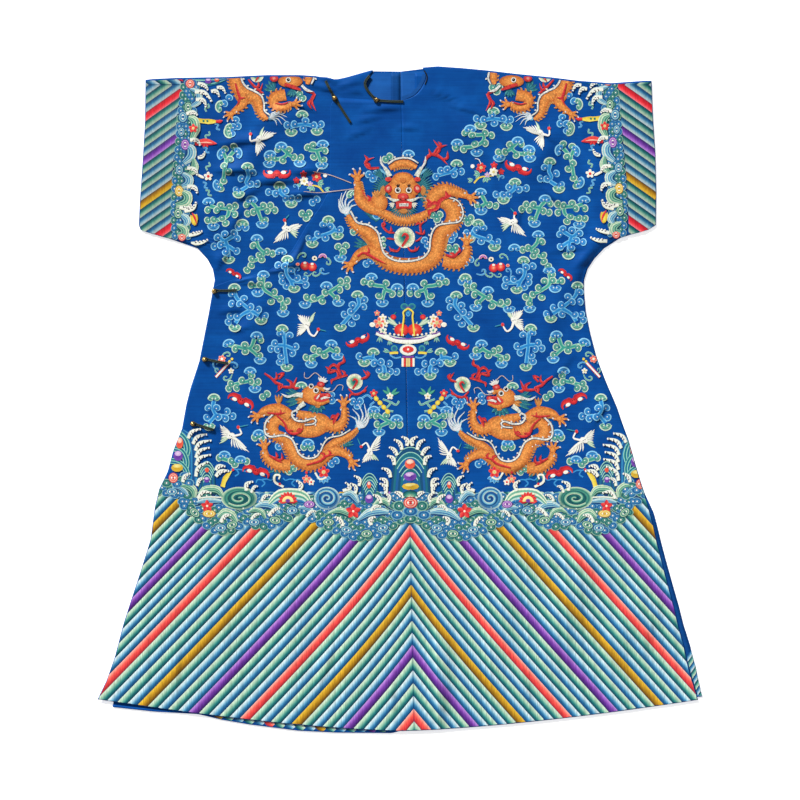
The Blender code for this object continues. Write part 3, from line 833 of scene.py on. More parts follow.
def cord_material():
    """Braided silk cord, near black green: slanting bands across the run of the cord give the plaits,
    and the lighter colour between them is a painted highlight, where the floss catches a little light."""
    material, tree, principled = start_material("braided silk cord, dark green", Roughness=0.6,
                                                Specular_IOR_Level=0.3)
    places = add_node(tree, "ShaderNodeUVMap", uv_map="run")
    turned = add_node(tree, "ShaderNodeMapping", [("Vector", places.outputs["UV"])], Rotation=(0, 0, 0.9))
    plait = add_node(tree, "ShaderNodeTexWave", [("Vector", turned.outputs["Vector"])], Scale=0.16,
                     Distortion=0.6)
    # painted highlight: the plaits are coloured lighter where they stand up
    tint = colour_mix(tree, plait.outputs["Fac"], linear("#151c18"), linear("#3b4a3e"))
    tree.links.new(tint.outputs["Color"], principled.inputs["Base Color"])
    bump = add_node(tree, "ShaderNodeBump", [("Height", plait.outputs["Fac"])], Strength=0.7,
                    Distance=0.0006)
    tree.links.new(bump.outputs["Normal"], principled.inputs["Normal"])
    return material


def gilt_material():
    """Chased gilt brass: rings and lobes in relief, darker in the grooves."""
    material, tree, principled = start_material("chased gilt brass", Metallic=1.0, Roughness=0.34)
    place = add_node(tree, "ShaderNodeTexCoord").outputs["Object"]
    chase = add_node(tree, "ShaderNodeTexVoronoi", [("Vector", place)], Scale=330.0)
    tint = colour_mix(tree, chase.outputs["Distance"], linear("#e6c27a"), linear("#6e4a1c"))
    tree.links.new(tint.outputs["Color"], principled.inputs["Base Color"])
    bump = add_node(tree, "ShaderNodeBump", [("Height", chase.outputs["Distance"])], Strength=0.8,
                    Distance=-0.0012)
    tree.links.new(bump.outputs["Normal"], principled.inputs["Normal"])
    return material


silk_cord, gilt = cord_material(), gilt_material()


def write_places(piece, name, places):
    """Writes a UV map: each corner of a triangle takes the place of its point."""
    uv = piece.data.uv_layers.new(name=name)
    corners = np.empty(len(piece.data.loops), np.int32)
    piece.data.loops.foreach_get("vertex_index", corners)
    uv.data.foreach_set("uv", places[corners].astype(np.float32).ravel())


def closure_piece(name, points, triangles, places, material, node, slot):
    """One closed piece of a closure, with its run as a UV map."""
    piece = mesh_object(name, points, triangles)
    write_places(piece, "run", places)
    piece.data.materials.append(material)
    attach(piece, "root")
    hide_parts(node)
    return piece


def ball_points(x, y, z, rows=11, around=16):
    """A ball of eight lobes with a flattened crown: rings of radius BALL * sin(polar)
    at heights 0.94 * BALL * cos(polar)."""
    polar = np.linspace(0.02, math.pi - 0.02, rows)[:, None]
    a = np.arange(around)[None] * 2 * math.pi / around
    lobes = 1.0 + 0.035 * np.cos(8 * a) * np.sin(polar) ** 2
    r = BALL * np.sin(polar) * lobes
    height = z - 0.94 * BALL * np.cos(polar) * np.ones_like(a)
    points = np.stack([x + r * np.cos(a), y + r * np.sin(a), height], -1)
    places = np.stack([polar * BALL * np.ones_like(a), a * BALL * np.ones_like(polar)], -1)
    return points.reshape(-1, 3), grid_triangles(rows, around, True), places.reshape(-1, 2)


for name, (ball, loop, strap) in CLOSURES.items():
    base = laid([ball], 0.0)[0, 2]
    closure_piece(f"ball_{name}", *ball_points(*ball, base + BALL), gilt, f"button_{name}", "gilt")
    for line, kind, node, count in ((loop, "cord", "loop", 90), (strap, "strap_cord", "strap", 80)):
        if line:
            path = curve(laid(doubled(line, ball), STRAND + CORD_LIFT), count)
            closure_piece(f"{kind}_{name}", *tube(path, STRAND), silk_cord, f"{node}_{name}", "cord")


def strip(name, columns, rows, level, material):
    """A folded strip of cloth lying inside the neck, 0.3 mm thick."""
    x, y = np.meshgrid(columns, rows)
    points = np.stack([x, y, np.full(x.shape, level)], -1).reshape(-1, 3)
    piece = mesh_object(name, points, grid_triangles(*x.shape))
    thicken(piece, 0.3, -1.0)
    piece.data.materials.append(material)
    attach(piece, "root")


strip("neck_seam_allowance", (-19.3, -14, -7, 0), NECK_ROWS, 2.7, lining_silk)
strip("neck_back_panel", (31, 36, 42, 48, 54, 60), NECK_ROWS, 2.7, satin)
binding_path = curve(laid(((50, 690), (56, 682), (56, 672), (52, 661)), 0.6), 40)
binding, binding_faces, _ = tube(binding_path, 1.1, 6)
piped = mesh_object("neck_binding", binding, binding_faces)
piped.data.materials.append(silk_cord)
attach(piped, "root")
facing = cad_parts["neck_facing"]
for place in facing.material_slots:
    place.material = facing_silk
print("closures:", len(CLOSURES))

# %% [markdown]
# ## Needlework
# Satin stitch is a field of parallel floss threads, slightly raised in the middle. A
# motif is built from three fields: a band along a curved line, an oval of rings and
# an arched fan. Each is a grid of points with a colour and a thread direction at every
# point. Motifs are worked out flat, then laid on the cloth's own surface, each layer
# a little above the last, which is how overlapping embroidery sits.

# %% fields of stitches
LAYER = 0.3


def field(points, colours, thread, wrap=False):
    """A grid of stitches as a motif: points, triangles, colours and thread places."""
    rows, columns = points.shape[:2]
    colours = np.broadcast_to(colours, points.shape).reshape(-1, 3)
    return points.reshape(-1, 3), grid_triangles(rows, columns, wrap), colours, thread.reshape(-1, 2)


def join(*motifs):
    """One motif from several: triangles are renumbered past the points before them."""
    starts = np.cumsum([0] + [len(m[0]) for m in motifs[:-1]])
    return (np.concatenate([m[0] for m in motifs]),
            np.concatenate([m[1] + start for m, start in zip(motifs, starts)]),
            np.concatenate([m[2] for m in motifs]), np.concatenate([m[3] for m in motifs]))


def move(motif, x=0.0, y=0.0, turn=0.0, size=1.0, flip=False, lift=0.0):
    """A copy that is mirrored, scaled, turned by degrees and moved."""
    points = motif[0] * (size * (-1 if flip else 1), size, 1.0)
    c, s = math.cos(math.radians(turn)), math.sin(math.radians(turn))
    turned = points @ np.array([(c, s, 0), (-s, c, 0), (0, 0, 1)])
    return (turned + (x, y, lift), *motif[1:])


def shade(colours, share):
    """Colours read along their list at shares from 0 to 1."""
    at = np.clip(share, 0, 1) * (len(colours) - 1)
    rows = np.arange(len(colours))
    return np.stack([np.interp(at, rows, colours[:, k]) for k in range(3)], -1)


def crisp(colours):
    """Places and colours of bands with sharp steps between them."""
    n = len(colours)
    edges = np.repeat(np.arange(n + 1) / n, 2)[1:-1]
    edges[1::2] -= 0.25 / n
    return edges / edges[-1], np.repeat(colours, 2, axis=0)


def band(line, widths, colours, lift=0.3, dome=0.2, count=0, across=3, sharp=False):
    """Satin stitch along a curve: point = line + normal * s * width / 2, and its
    height is lift + dome * (1 - s^2) for s from -1 to 1."""
    count = count or 3 * len(line)
    path = curve(line, count)
    normal = headings(path)[1]
    places = np.linspace(0, 1, np.size(widths))
    width = np.interp(np.linspace(0, 1, count), places, np.atleast_1d(widths))
    share = np.linspace(0, 1, across)
    tints = shade(colours, share)
    if sharp:
        share, tints = crisp(colours)
    s = 2 * share - 1
    xy = path[:, None] + normal[:, None] * (s[None, :, None] * width[:, None, None] / 2)
    z = np.broadcast_to(lift + dome * (1 - s ** 2), xy.shape[:2])
    run = np.broadcast_to(run_along(path)[:, None], z.shape)
    thread = np.stack([run, s[None] * width[:, None] / 2], -1)
    return field(np.concatenate([xy, z[..., None]], -1), tints[None], thread)


def oval(x, y, rx, ry, colours, turn=0.0, lift=0.3, dome=0.2, around=12, sharp=False):
    """Rings of stitches: radius r from 0 to 1 at angle a, height dome * (1 - r^2)."""
    r = np.linspace(0, 1, max(2, len(colours)))
    tints = shade(colours, r)
    if sharp:
        r, tints = crisp(colours)
    r[0] = 0.04
    a = np.arange(around) * 2 * math.pi / around
    px = r[:, None] * np.cos(a) * rx
    py = r[:, None] * np.sin(a) * ry
    c, s = math.cos(math.radians(turn)), math.sin(math.radians(turn))
    z = np.broadcast_to((lift + dome * (1 - r ** 2))[:, None], px.shape)
    points = np.stack([x + px * c - py * s, y + px * s + py * c, z], -1)
    thread = np.stack([np.broadcast_to(a * rx, px.shape), r[:, None] * rx * np.ones(around)], -1)
    ring = field(points, tints[:, None], thread, wrap=True)
    cap = np.stack([np.zeros(around - 2, int), np.arange(1, around - 1), np.arange(2, around)], -1)
    return ring[0], np.concatenate([ring[1], cap]), ring[2], ring[3]


def arch(x, y, inner, outer, start, end, colours, flat=1.0, lift=0.3, around=12, sharp=True):
    """Part of a ring between two radii and two angles, colours from inside to outside:
    height = lift + 0.3 * 4 r (1 - r)."""
    r, tints = crisp(colours) if sharp else (np.linspace(0, 1, len(colours)), colours)
    radius = inner + (outer - inner) * r
    a = np.radians(np.linspace(start, end, around))
    px = radius[:, None] * np.cos(a)
    py = radius[:, None] * np.sin(a) * flat
    z = np.broadcast_to((lift + 0.3 * r * (1 - r) * 4)[:, None], px.shape)
    points = np.stack([x + px, y + py, z], -1)
    thread = np.stack([radius[:, None] * a, np.broadcast_to(radius[:, None], px.shape)], -1)
    return field(points, tints[:, None], thread)


def floss_material(name, roughness, streak, bump_height, spacing):
    """Silk floss: the colour of each stitch from the piece's own attribute, streaked
    thread by thread, with ridges along the thread direction. Real floss lies at about
    0.3 mm, and is drawn at the spacing given so that it shows."""
    material, tree, principled = start_material(
        name, Roughness=roughness, Sheen_Weight=0.04, Sheen_Roughness=0.35,
        Specular_IOR_Level=0.22,
    )
    dye = add_node(tree, "ShaderNodeAttribute", attribute_name="floss")
    thread = add_node(tree, "ShaderNodeUVMap", uv_map="thread")
    stretch = add_node(tree, "ShaderNodeMapping", [("Vector", thread.outputs["UV"])],
                       Scale=(1.0 / spacing, 0.06, 1.0))
    fibres = add_node(tree, "ShaderNodeTexNoise", [("Vector", stretch.outputs["Vector"])],
                      Scale=1.0, Detail=3.0, Roughness=0.7)
    light = add_node(tree, "ShaderNodeMapRange", [("Value", fibres.outputs["Fac"])],
                     From_Min=0.3, From_Max=0.7, To_Min=1.0 - streak, To_Max=1.0 + streak)
    tint = add_node(tree, "ShaderNodeVectorMath",
                    [(0, dye.outputs["Color"]), ("Scale", light.outputs["Result"])],
                    operation="SCALE")
    tree.links.new(tint.outputs["Vector"], principled.inputs["Base Color"])
    bump = add_node(tree, "ShaderNodeBump", [("Height", fibres.outputs["Fac"])],
                    Strength=0.5, Distance=bump_height)
    tree.links.new(bump.outputs["Normal"], principled.inputs["Normal"])
    return material


def add_scales(material, pitch):
    """Rows of small scales: cells of a Voronoi pattern on the thread places, dark at
    their edges and bright in the middle, over the colour of the floss."""
    tree = material.node_tree
    principled = tree.nodes["Principled BSDF"]
    under = principled.inputs["Base Color"].links[0].from_socket
    thread = next(node for node in tree.nodes if node.type == "UVMAP")
    cells = add_node(tree, "ShaderNodeTexVoronoi", [("Vector", thread.outputs["UV"])],
                     Scale=1.0 / pitch, Randomness=0.75)
    depth = add_node(tree, "ShaderNodeMapRange", [("Value", cells.outputs["Distance"])],
                     From_Min=0.1, From_Max=0.75, To_Min=1.16, To_Max=0.62)
    tint = add_node(tree, "ShaderNodeVectorMath", [(0, under), ("Scale", depth.outputs["Result"])],
                    operation="SCALE")
    tree.links.new(tint.outputs["Vector"], principled.inputs["Base Color"])


floss = floss_material("silk floss, satin stitch", 0.42, 0.22, 0.0004, 1.6)
roll_floss = floss_material("silk floss laid crosswise", 0.45, 0.36, 0.0006, 2.6)
scale_floss = floss_material("couched gold and orange floss", 0.5, 0.2, 0.0006, 2.2)
add_scales(scale_floss, 3.4)


def embroider(name, motif, top=sewn_top, side=1, material=floss):
    """Lays a motif on the cloth: z = cloth + side * height, with every triangle turned
    to face away from the cloth."""
    points, triangles, colours, thread = motif
    points = points.copy()
    points[:, 2] = top(points[:, 0], points[:, 1]) + side * points[:, 2]
    if side > 0:
        # painted shade: floss that lies in the foot of a crease is darkened like the satin under it
        painted_shade = read_grid(painted_crease_shades, points[:, 0], points[:, 1])
        colours = colours * (1.0 - PAINTED_CREASE_SHADE * painted_shade)[:, None]
    a, b, c = (points[triangles[:, k], :2] for k in range(3))
    one, two = b - a, c - a
    area = one[:, 0] * two[:, 1] - one[:, 1] * two[:, 0]
    triangles = np.where((area * side < 0)[:, None], triangles[:, ::-1], triangles)
    triangles = triangles[np.abs(area) > 1e-4]
    piece = mesh_object(name, points, triangles)
    dye = piece.data.attributes.new("floss", "FLOAT_COLOR", "POINT")
    opaque = np.column_stack([colours, np.ones(len(colours))])
    dye.data.foreach_set("color", opaque.astype(np.float32).ravel())
    write_places(piece, "thread", thread)
    piece.data.materials.append(material)
    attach(piece, "root")
    print(name, len(triangles), "triangles")
    return piece


print("floss materials: 3")

# %% [markdown]
# ## Standing water: the stripes of the skirt
# The slanting rolls at the hem are called standing water. They are bands of satin
# stitch in seven steps of one colour, and they meet in a chevron on the centre seam.
# Every fifth roll is an accent: coral, ochre, then purple. A roll falls from the seam
# by slope * d + drop - (drop - sag) * e^(-d / reach) at a distance d: it is steepest at
# the seam, and a little steeper on the wearer's left half.

# %% rolls of the skirt
ROLL_PITCH, CORAL_APEX, ROLL_GAP = 24.4, -257.5, 0.7
SKIRT_SLOPES = {1: (1.133, 31.5, 72.0), -1: (1.004, 45.5, 110.0)}
CLOSER = {1: 0.8, -1: 2.6}
PLAIN_ROLLS = {1: GREEN_ROLL, 2: BLUE_ROLL, 3: GREEN_ROLL, 4: BLUE_ROLL}
SKIRT_ACCENTS = (CORAL_ROLL, OCHRE_ROLL, PURPLE_ROLL)
SKIRT_ROLLS, SKIRT_REACH, THREAD_ACROSS = range(-28, 18), 690.0, 18.0
WAVE_TOP = -192.0


def roll_dye(k, accents):
    """The family of roll k: green and blue by turns, and every fifth an accent."""
    return PLAIN_ROLLS[k % 5] if k % 5 else accents[(k // 5) % len(accents)]


def roll(path, reach, inside, colours, rise=0.55, step=9.0, across=7):
    """One roll: path(s, q) gives x and y for s across and q along. The run is kept
    between the first and the last q whose point is inside, for each s."""
    s = np.linspace(0, 1, across)
    q = np.linspace(0, reach, int(reach))
    x, y = path(s[:, None], q[None, :])
    kept = inside(x, y)
    if not kept.any(axis=1).all():
        s = s[kept.any(axis=1)]
        kept = kept[kept.any(axis=1)]
        if len(s) < 2:
            return None
    first = q[kept.argmax(axis=1)]
    last = q[len(q) - 1 - kept[:, ::-1].argmax(axis=1)]
    count = max(3, int((last - first).max() / step))
    t = np.linspace(0, 1, count)[:, None]
    run = first[None] + (last - first)[None] * t
    x, y = path(s[None, :], run)
    height = 0.3 + rise * np.sqrt(np.clip(1 - (2 * s - 1) ** 2, 0, 1))
    points = np.stack([x, y, np.broadcast_to(height, x.shape)], -1)
    thread = np.stack([run, np.broadcast_to(s * THREAD_ACROSS, run.shape)], -1)
    return field(points, shade(colours, s)[None], thread)


def roll_top(k, side):
    """y of roll k on the centre seam: an even pitch, and closer together above the
    accent at -15, where the rolls run out under the side seam."""
    return CORAL_APEX - ROLL_PITCH * k - CLOSER[side] * np.maximum(-15 - k, 0)


def apex_sag(k):
    """How far below the even pitch roll k meets the seam: the chevron opens downwards."""
    return 4.0 + 0.8 * max(k, -5) + 1.6 * max(k - 10, 0)


def in_skirt(side):
    """Test for the half skirt below the waves, a millimetre inside its edges."""
    def inside(x, y):
        row = row_at(x, y)
        if side > 0:
            edge = x < read(LEFT_EDGE, row) - 1.0
        else:
            edge = x > read(RIGHT_EDGE, row) + 1.0
        return edge & (row > HEM_CORNER + 1.0) & (y < WAVE_TOP)
    return inside


def skirt_rolls(side, inside, step=9.0, across=7):
    """All the rolls of one half of the skirt."""
    slope, drop, near = SKIRT_SLOPES[side]
    rolls = []
    for k in SKIRT_ROLLS:
        top, bottom = roll_top(k, side), roll_top(k + 1, side) + ROLL_GAP
        sags = (apex_sag(k), apex_sag(k + 1))

        def path(s, q, top=top, bottom=bottom, sags=sags):
            sag = sags[0] + s * (sags[1] - sags[0])
            y = top + s * (bottom - top) - slope * q - drop + (drop - sag) * np.exp(-q / near)
            return centre_x(y) + side * (q + 0.4), y

        one = roll(path, SKIRT_REACH, inside, roll_dye(k, SKIRT_ACCENTS), step=step, across=across)
        if one:
            rolls.append(one)
    return join(*rolls)


for side, name in SIDES:
    embroider(f"standing_water_{name}", skirt_rolls(side, in_skirt(side)), material=roll_floss)

# %% rolls of the sleeves
SLEEVE_PITCH, SLEEVE_SLOPE, RED_AT_CUFF, SLEEVE_APEX = 17.8, 0.70, 591.0, 661.0
CUFF_DEPTH, CUFF_END, CUFF_REACH, LEFT_CUFF_RISE = 0.72, 550.0, 100.0, 14.0
CUFF_ROLLS, CUFF_GAP = range(-7, 19), 0.6
CUFF_INNER = np.array([(374, 479), (461, 475), (550, 467), (651, 455)])
SLEEVE_ACCENTS = (RED_ROLL, PURPLE_ROLL, OCHRE_ROLL)


def sleeve_rolls(side):
    """Rolls of one cuff. They rise towards the body, meet a chevron on the shoulder
    fold, and are pale below and dark above."""
    edge = LEFT_EDGE if side > 0 else RIGHT_EDGE

    def inside(x, y):
        row = row_at(x, y)
        inner = read(CUFF_INNER, y)
        cuff = np.abs(read(edge, row)) - 1.0
        return (np.abs(x) < cuff) & (np.abs(x) > inner) & (row < SHOULDER_LEVEL - 1.5)

    rolls = []
    for k in CUFF_ROLLS:
        start = RED_AT_CUFF - SLEEVE_PITCH * k + (LEFT_CUFF_RISE if side > 0 else 0.0)
        colours = roll_dye(k, SLEEVE_ACCENTS)[::-1] * (CUFF_DEPTH if k % 5 else 1.0)

        for fold in (1, -1):
            def path(s, q, start=start, fold=fold):
                x = side * (CUFF_END - q)
                y = start - s * (SLEEVE_PITCH - CUFF_GAP) + SLEEVE_SLOPE * q
                return np.broadcast_to(x, y.shape), SLEEVE_APEX + fold * (y - SLEEVE_APEX)

            def kept(x, y, fold=fold):
                return inside(x, y) & ((y <= SLEEVE_APEX) if fold > 0 else (y >= SLEEVE_APEX))

            one = roll(path, CUFF_REACH, kept, colours, rise=0.45, step=10.0)
            if one:
                rolls.append(one)
    return join(*rolls)


for side, name in SIDES:
    embroider(f"cuff_water_{name}", sleeve_rolls(side), material=roll_floss)

# %% the turned-up back hem
HEM_ROLL_PITCH, HEM_ROLL_WIDTH = 21.4, 14.6
HEM_ACCENTS = (OCHRE_ROLL, CORAL_ROLL, OCHRE_ROLL, PURPLE_ROLL)


def hem_rolls():
    """Rolls on the strip of back hem that is turned up to the front. They slant the
    other way, and show only where the front hem is shorter."""
    parts = []
    for k, x in enumerate(np.arange(TURNED_FROM + 10.0, TURNED_TO - 4.0, HEM_ROLL_PITCH)):
        hem = float(read(BACK_HEM, x))
        line = ((x, hem + 1.0), (x - 13, hem + 16), (x - 26, hem + 31))
        parts.append(band(line, HEM_ROLL_WIDTH, roll_dye(k, HEM_ACCENTS), 0.3, dome=0.3, count=5,
                          across=5))
    motif = join(*parts)
    motif[0][:, 1] = np.maximum(motif[0][:, 1], read(BACK_HEM, motif[0][:, 0]) + 0.6)
    return motif


def turned_top(x, y):
    """The turned hem lies flat at one level."""
    return np.full(np.shape(x), TURNED_HEM_LEVEL + CLOTH / 2)


embroider("turned_hem_rolls", hem_rolls(), top=turned_top, material=roll_floss)

# %% [markdown]
# ## Small shapes
# Embroiderers repeat a small stock of shapes: the pointed blade for petals, feathers
# and flame tongues, the bead with an eye, and the foam claw with its dark notches.

# %% floss families of the motifs
STRAW = steps("#c9b26a", "#e8d694")
STRAW_YELLOW = steps("#f2de6a", "#ecd24e", "#d9b830")
LEAF = steps("#1f7a6c", "#58ab8c", "#2a8a7c")
PINK = steps("#e8504a", "#ee6a58", "#f6b8a0")
IVORY = steps("#e6e2c8", "#f2eed8", "#f6f4ea")
STEM_FLOSS = (steps("#b4dcc4", "#4ba690", "#2b8f86", "#4ba690", "#b4dcc4"),
              steps("#86ccea", "#2f90cc", "#1c78bc", "#2f90cc", "#86ccea"))
CREST_WHITE = steps("#dfe3c4", "#f4f1e6", "#f6f3ea", "#cfe0cf")
PALE_RED = steps("#f3a08e", "#e8473f", "#c4232c", "#f0b5a0")
PALE_PURPLE = steps("#d9b3e0", "#8e4bab", "#5d2a86", "#c9a0d4")
PALE_OCHRE = steps("#f3e08e", "#dfb331", "#c08d1c", "#f2de94")
GREEN_CREST = steps("#d0dcbe", "#8bba9a", "#4c9680", "#1d6f6a", "#0a4550")
BLUE_CREST = steps("#d0ded4", "#8cc0c8", "#4891b8", "#1d66a4", "#0e3e76")
RED_FLAME = steps("#b51c2a", "#e2363a", "#ee5a4a")
WISP = steps("#1f6fb4", "#3d97cf", "#2a7fc0")
print("green crests in", len(GREEN_CREST), "steps, flames in", len(RED_FLAME))

# %% stock shapes
def blade(line, width, colours, lift=0.3, root=0.3):
    """A petal, feather or flame: narrow at the root, widest before the middle, pointed."""
    widths = (root * width, 0.8 * width, width, 0.75 * width, 0.08 * width)
    return band(line, widths, colours, lift, count=2 * len(line) + 1)


def dots(places, radius, colours, lift):
    """Small knots."""
    return join(*[oval(x, y, radius, radius, colours, lift=lift, around=6) for x, y in places])


def tongue(x, y, reach, middle, a, b):
    """A line that leaves (x, y) at angle a and ends at angle b, in radians: middle is
    the share of its reach at which it bends."""
    return ((x, y), (x + middle * reach * math.cos(a), y + middle * reach * math.sin(a)),
            (x + reach * math.cos(b), y + reach * math.sin(b)))


def fan(x, y, reach, angles, width, colours, lift=0.3):
    """Blades from one root at the angles given in degrees."""
    turns = [math.radians(angle) for angle in angles]
    return join(*[blade(tongue(x, y, reach, 0.55, a, a), width, colours, lift) for a in turns])


def bead(x, y, rx, ry, family, lift=0.9, turn=0.0):
    """A coloured bead: pale outline, coloured ring, pale line and two white eyes."""
    rings = family[[1, 2, 3, 1, 3, 2]]
    eyes = move(dots(((-0.32 * rx, 0), (0.32 * rx, 0)), 0.2 * ry, WHITE, lift + LAYER), turn=turn)
    ringed = oval(x, y, rx, ry, rings, turn=turn, lift=lift, around=14, sharp=True)
    return join(ringed, move(eyes, x, y))


def lobe(x, y, rx, ry, family, lift, turn=0.0):
    """A water lobe: an oval of rings with a pale rim and a white eye."""
    eye = oval(x, y, 0.17 * rx, 0.17 * rx, WHITE, lift=lift + 0.2, around=5)
    rings = np.vstack([family[1], family[0], family[2], family[0], family[1], family[3]])
    return join(oval(x, y, rx, ry, rings, turn=turn, lift=lift, around=11), eye)


FOAM_LIFT = 2.2


def foam(line, width, side):
    """A foam claw: a white crest that curls over, four knots of spray and four black
    notches along its hollow side."""
    path = curve(line, 24)
    normal = side * headings(path)[1]
    at = np.linspace(7, 22, 4).astype(int)
    share = np.interp(at, (0, 10, 23), (1.0, 0.85, 0.3))[:, None]
    knots = path[at] + normal[at] * width * 0.52 * share
    notches = path[at - 1] + normal[at - 1] * width * 0.34 * share
    return join(band(line, (0.9 * width, width, 0.8 * width, 0.3 * width), CREST_WHITE, FOAM_LIFT,
                     count=10),
                dots(notches, 0.26 * width, BLACK, FOAM_LIFT + 0.3),
                dots(knots, 0.24 * width, WHITE, FOAM_LIFT + 0.5))


def flower(x, y, r, petals, family, heart_floss, lift=0.8):
    """Petals round a knot."""
    angles = [360.0 * k / petals + 18.0 for k in range(petals)]
    ring = [oval(x + 0.62 * r * math.cos(math.radians(a)), y + 0.62 * r * math.sin(math.radians(a)),
                 0.46 * r, 0.36 * r, family, turn=a, lift=lift, around=8) for a in angles]
    return join(*ring, oval(x, y, 0.34 * r, 0.34 * r, heart_floss, lift=lift + 0.4, around=8))


def claws(table):
    """The foam claws of a table: root, middle and tip of each, its width and its side."""
    return [foam(line, width, side) for line, width, side in table]


print("points in a flower:", len(flower(0, 0, 9, 5, RED_FLAME, STRAW)[0]))

# %% [markdown]
# ## Waves and mountains
# A band of water lobes hangs over the tops of the rolls in scallops. Spirals, arched
# crests and foam stand on it. Behind them rise one mountain on the seam, two small ones
# on either side of it, and half a mountain at each side seam. The right half of the
# wearer's front is worked out, and the left half is its mirror image, a little narrower.

# %% water lobes
WAVE_EDGE = np.array([
    (-530, -199), (-504, -201), (-474, -206), (-454, -222), (-436, -247), (-413, -267), (-379, -286),
    (-345, -279), (-322, -261), (-304, -272), (-276, -274), (-242, -261), (-219, -242), (-197, -240),
    (-181, -261), (-147, -276), (-90, -298), (-40, -290), (0, -262), (22, -256),
])
BLUE_WATER = steps("#124a86", "#2270a8", "#4894bc", "#98c8c8")
GREEN_WATER = steps("#124f5c", "#297874", "#539c88", "#aed0aa")
BLUE_BEAD, GREEN_BEAD = BLUE_WATER[[3, 1, 0, 3]], GREEN_WATER[[3, 1, 0, 3]]
DEEP_WATER = steps("#0f3668")
WATER_TOP = np.array([(-530, -176), (-474, -176), (-450, -197), (30, -197)])
# the beads among the lobes: x, y, family and turn
WATER_BEADS = (
    (-376, -268, BLUE_BEAD, 0), (-352, -262, GREEN_BEAD, 20), (-306, -256, BLUE_BEAD, 0),
    (-262, -252, GREEN_BEAD, -10), (-226, -232, BLUE_BEAD, 10), (-150, -256, GREEN_BEAD, 0),
    (-112, -272, BLUE_BEAD, -12), (-70, -280, GREEN_BEAD, 4), (-36, -268, BLUE_BEAD, 14),
    (-430, -236, GREEN_BEAD, -40), (-478, -192, BLUE_BEAD, 0),
)


def lobes(mirror, size=1.0):
    """Dark water and staggered rows of lobes on it: y = edge(x) + size * (8 + 10.5 * row)."""
    places = np.arange(-528.0, 23.0, 8.0)
    edge = np.interp(places, *WAVE_EDGE.T)
    surface = np.interp(places, *WATER_TOP.T)
    shore = np.stack([edge + 5.0, np.maximum(edge + 6.0, surface)])
    water = np.stack([np.stack([places, places]), shore, np.full(shore.shape, 1.0)], -1)
    parts = [field(water, DEEP_WATER[None], water[..., :2])]
    for row in range(10):
        for k, x in enumerate(np.arange(-524.0 + 8.5 * size * (row % 2), 20.0, 17.0 * size)):
            y = np.interp(x, *WAVE_EDGE.T) + size * (8.0 + 10.5 * row)
            if y > np.interp(x, *WATER_TOP.T) - 1.0:
                continue
            tone = BLUE_WATER if (k * 5 + row * 3 + k // 3) % 7 < 4 else GREEN_WATER
            tilt = 25.0 * math.sin(1.7 * k + row)
            parts.append(lobe(x, y, size * (10.6 + 0.8 * math.sin(k * 2.3)), 8.0 * size, tone,
                              1.6 - 0.06 * row, tilt))
    for x, y, tone, tilt in WATER_BEADS:
        parts.append(bead(x, y, 13, 8.4, tone, 1.9, tilt))
    return move(join(*parts), 41.0 if mirror else 0.0, flip=mirror)


def shoulder_top(x):
    """Highest y that is still on the front, by the fold's own line."""
    return bent_y(x, np.full(np.shape(x), SHOULDER_LEVEL)) - 2.0


def kept_inside(motif):
    """Pulls points that pass the robe's outline back to it, 1 mm inside."""
    points = motif[0].copy()
    points[:, 1] = np.minimum(points[:, 1], shoulder_top(points[:, 0]))
    row = row_at(points[:, 0], points[:, 1])
    points[:, 0] = np.clip(points[:, 0], read(RIGHT_EDGE, row) + 1.0, read(LEFT_EDGE, row) - 1.0)
    return (points, *motif[1:])


def spiral(x, y, rx, ry, colours, spin=1):
    """A wave spiral: a disc in rings, and an arm r = 0.06 + 0.72 * t that winds out."""
    t = np.linspace(0, 1, 20)
    a = spin * (0.6 + 3.6 * math.pi * t) + math.pi
    r = 0.06 + 0.72 * t
    arm = np.stack([x + rx * r * np.cos(a), y + ry * r * np.sin(a)], -1)
    disc = oval(x, y, rx, ry, colours[[3, 4, 4, 3, 4, 3, 4, 2, 3, 1, 0]], lift=1.6, around=26)
    shade_side = 0.5 + 0.5 * ((disc[0][:, 0] - x) / rx * 0.7 - (disc[0][:, 1] - y) / ry * 0.7)
    dark = np.clip(shade_side - 0.45, 0, 1)[:, None]
    disc = (disc[0], disc[1], disc[2] * (1 - dark) + colours[4] * dark, disc[3])
    widths = [share * ry for share in (0.13, 0.24, 0.3, 0.26)]
    return join(disc, band(arm, widths, colours[[0, 1, 1, 2, 3, 4]][::-spin], 1.6 + LAYER, count=44,
                           sharp=True))


CREST_ORDER = [4, 4, 1, 3, 1, 2, 0, 1, 0]


def crest(line, width, family, lift=1.5):
    """An arched crest: bands from a dark hollow to a pale outer edge, pale lines
    between. A family of five steps is dealt out to nine bands."""
    colours = family[CREST_ORDER] if len(family) == 5 else family
    return band(line, (0.35 * width, width, width, 0.5 * width), colours, lift, dome=0.5,
                count=14, sharp=True)


HILL_TONES = steps("#0f4c74", "#176a7c", "#1a5c98")
PALE_LINE = steps("#8fd0b8", "#a8d8c4")


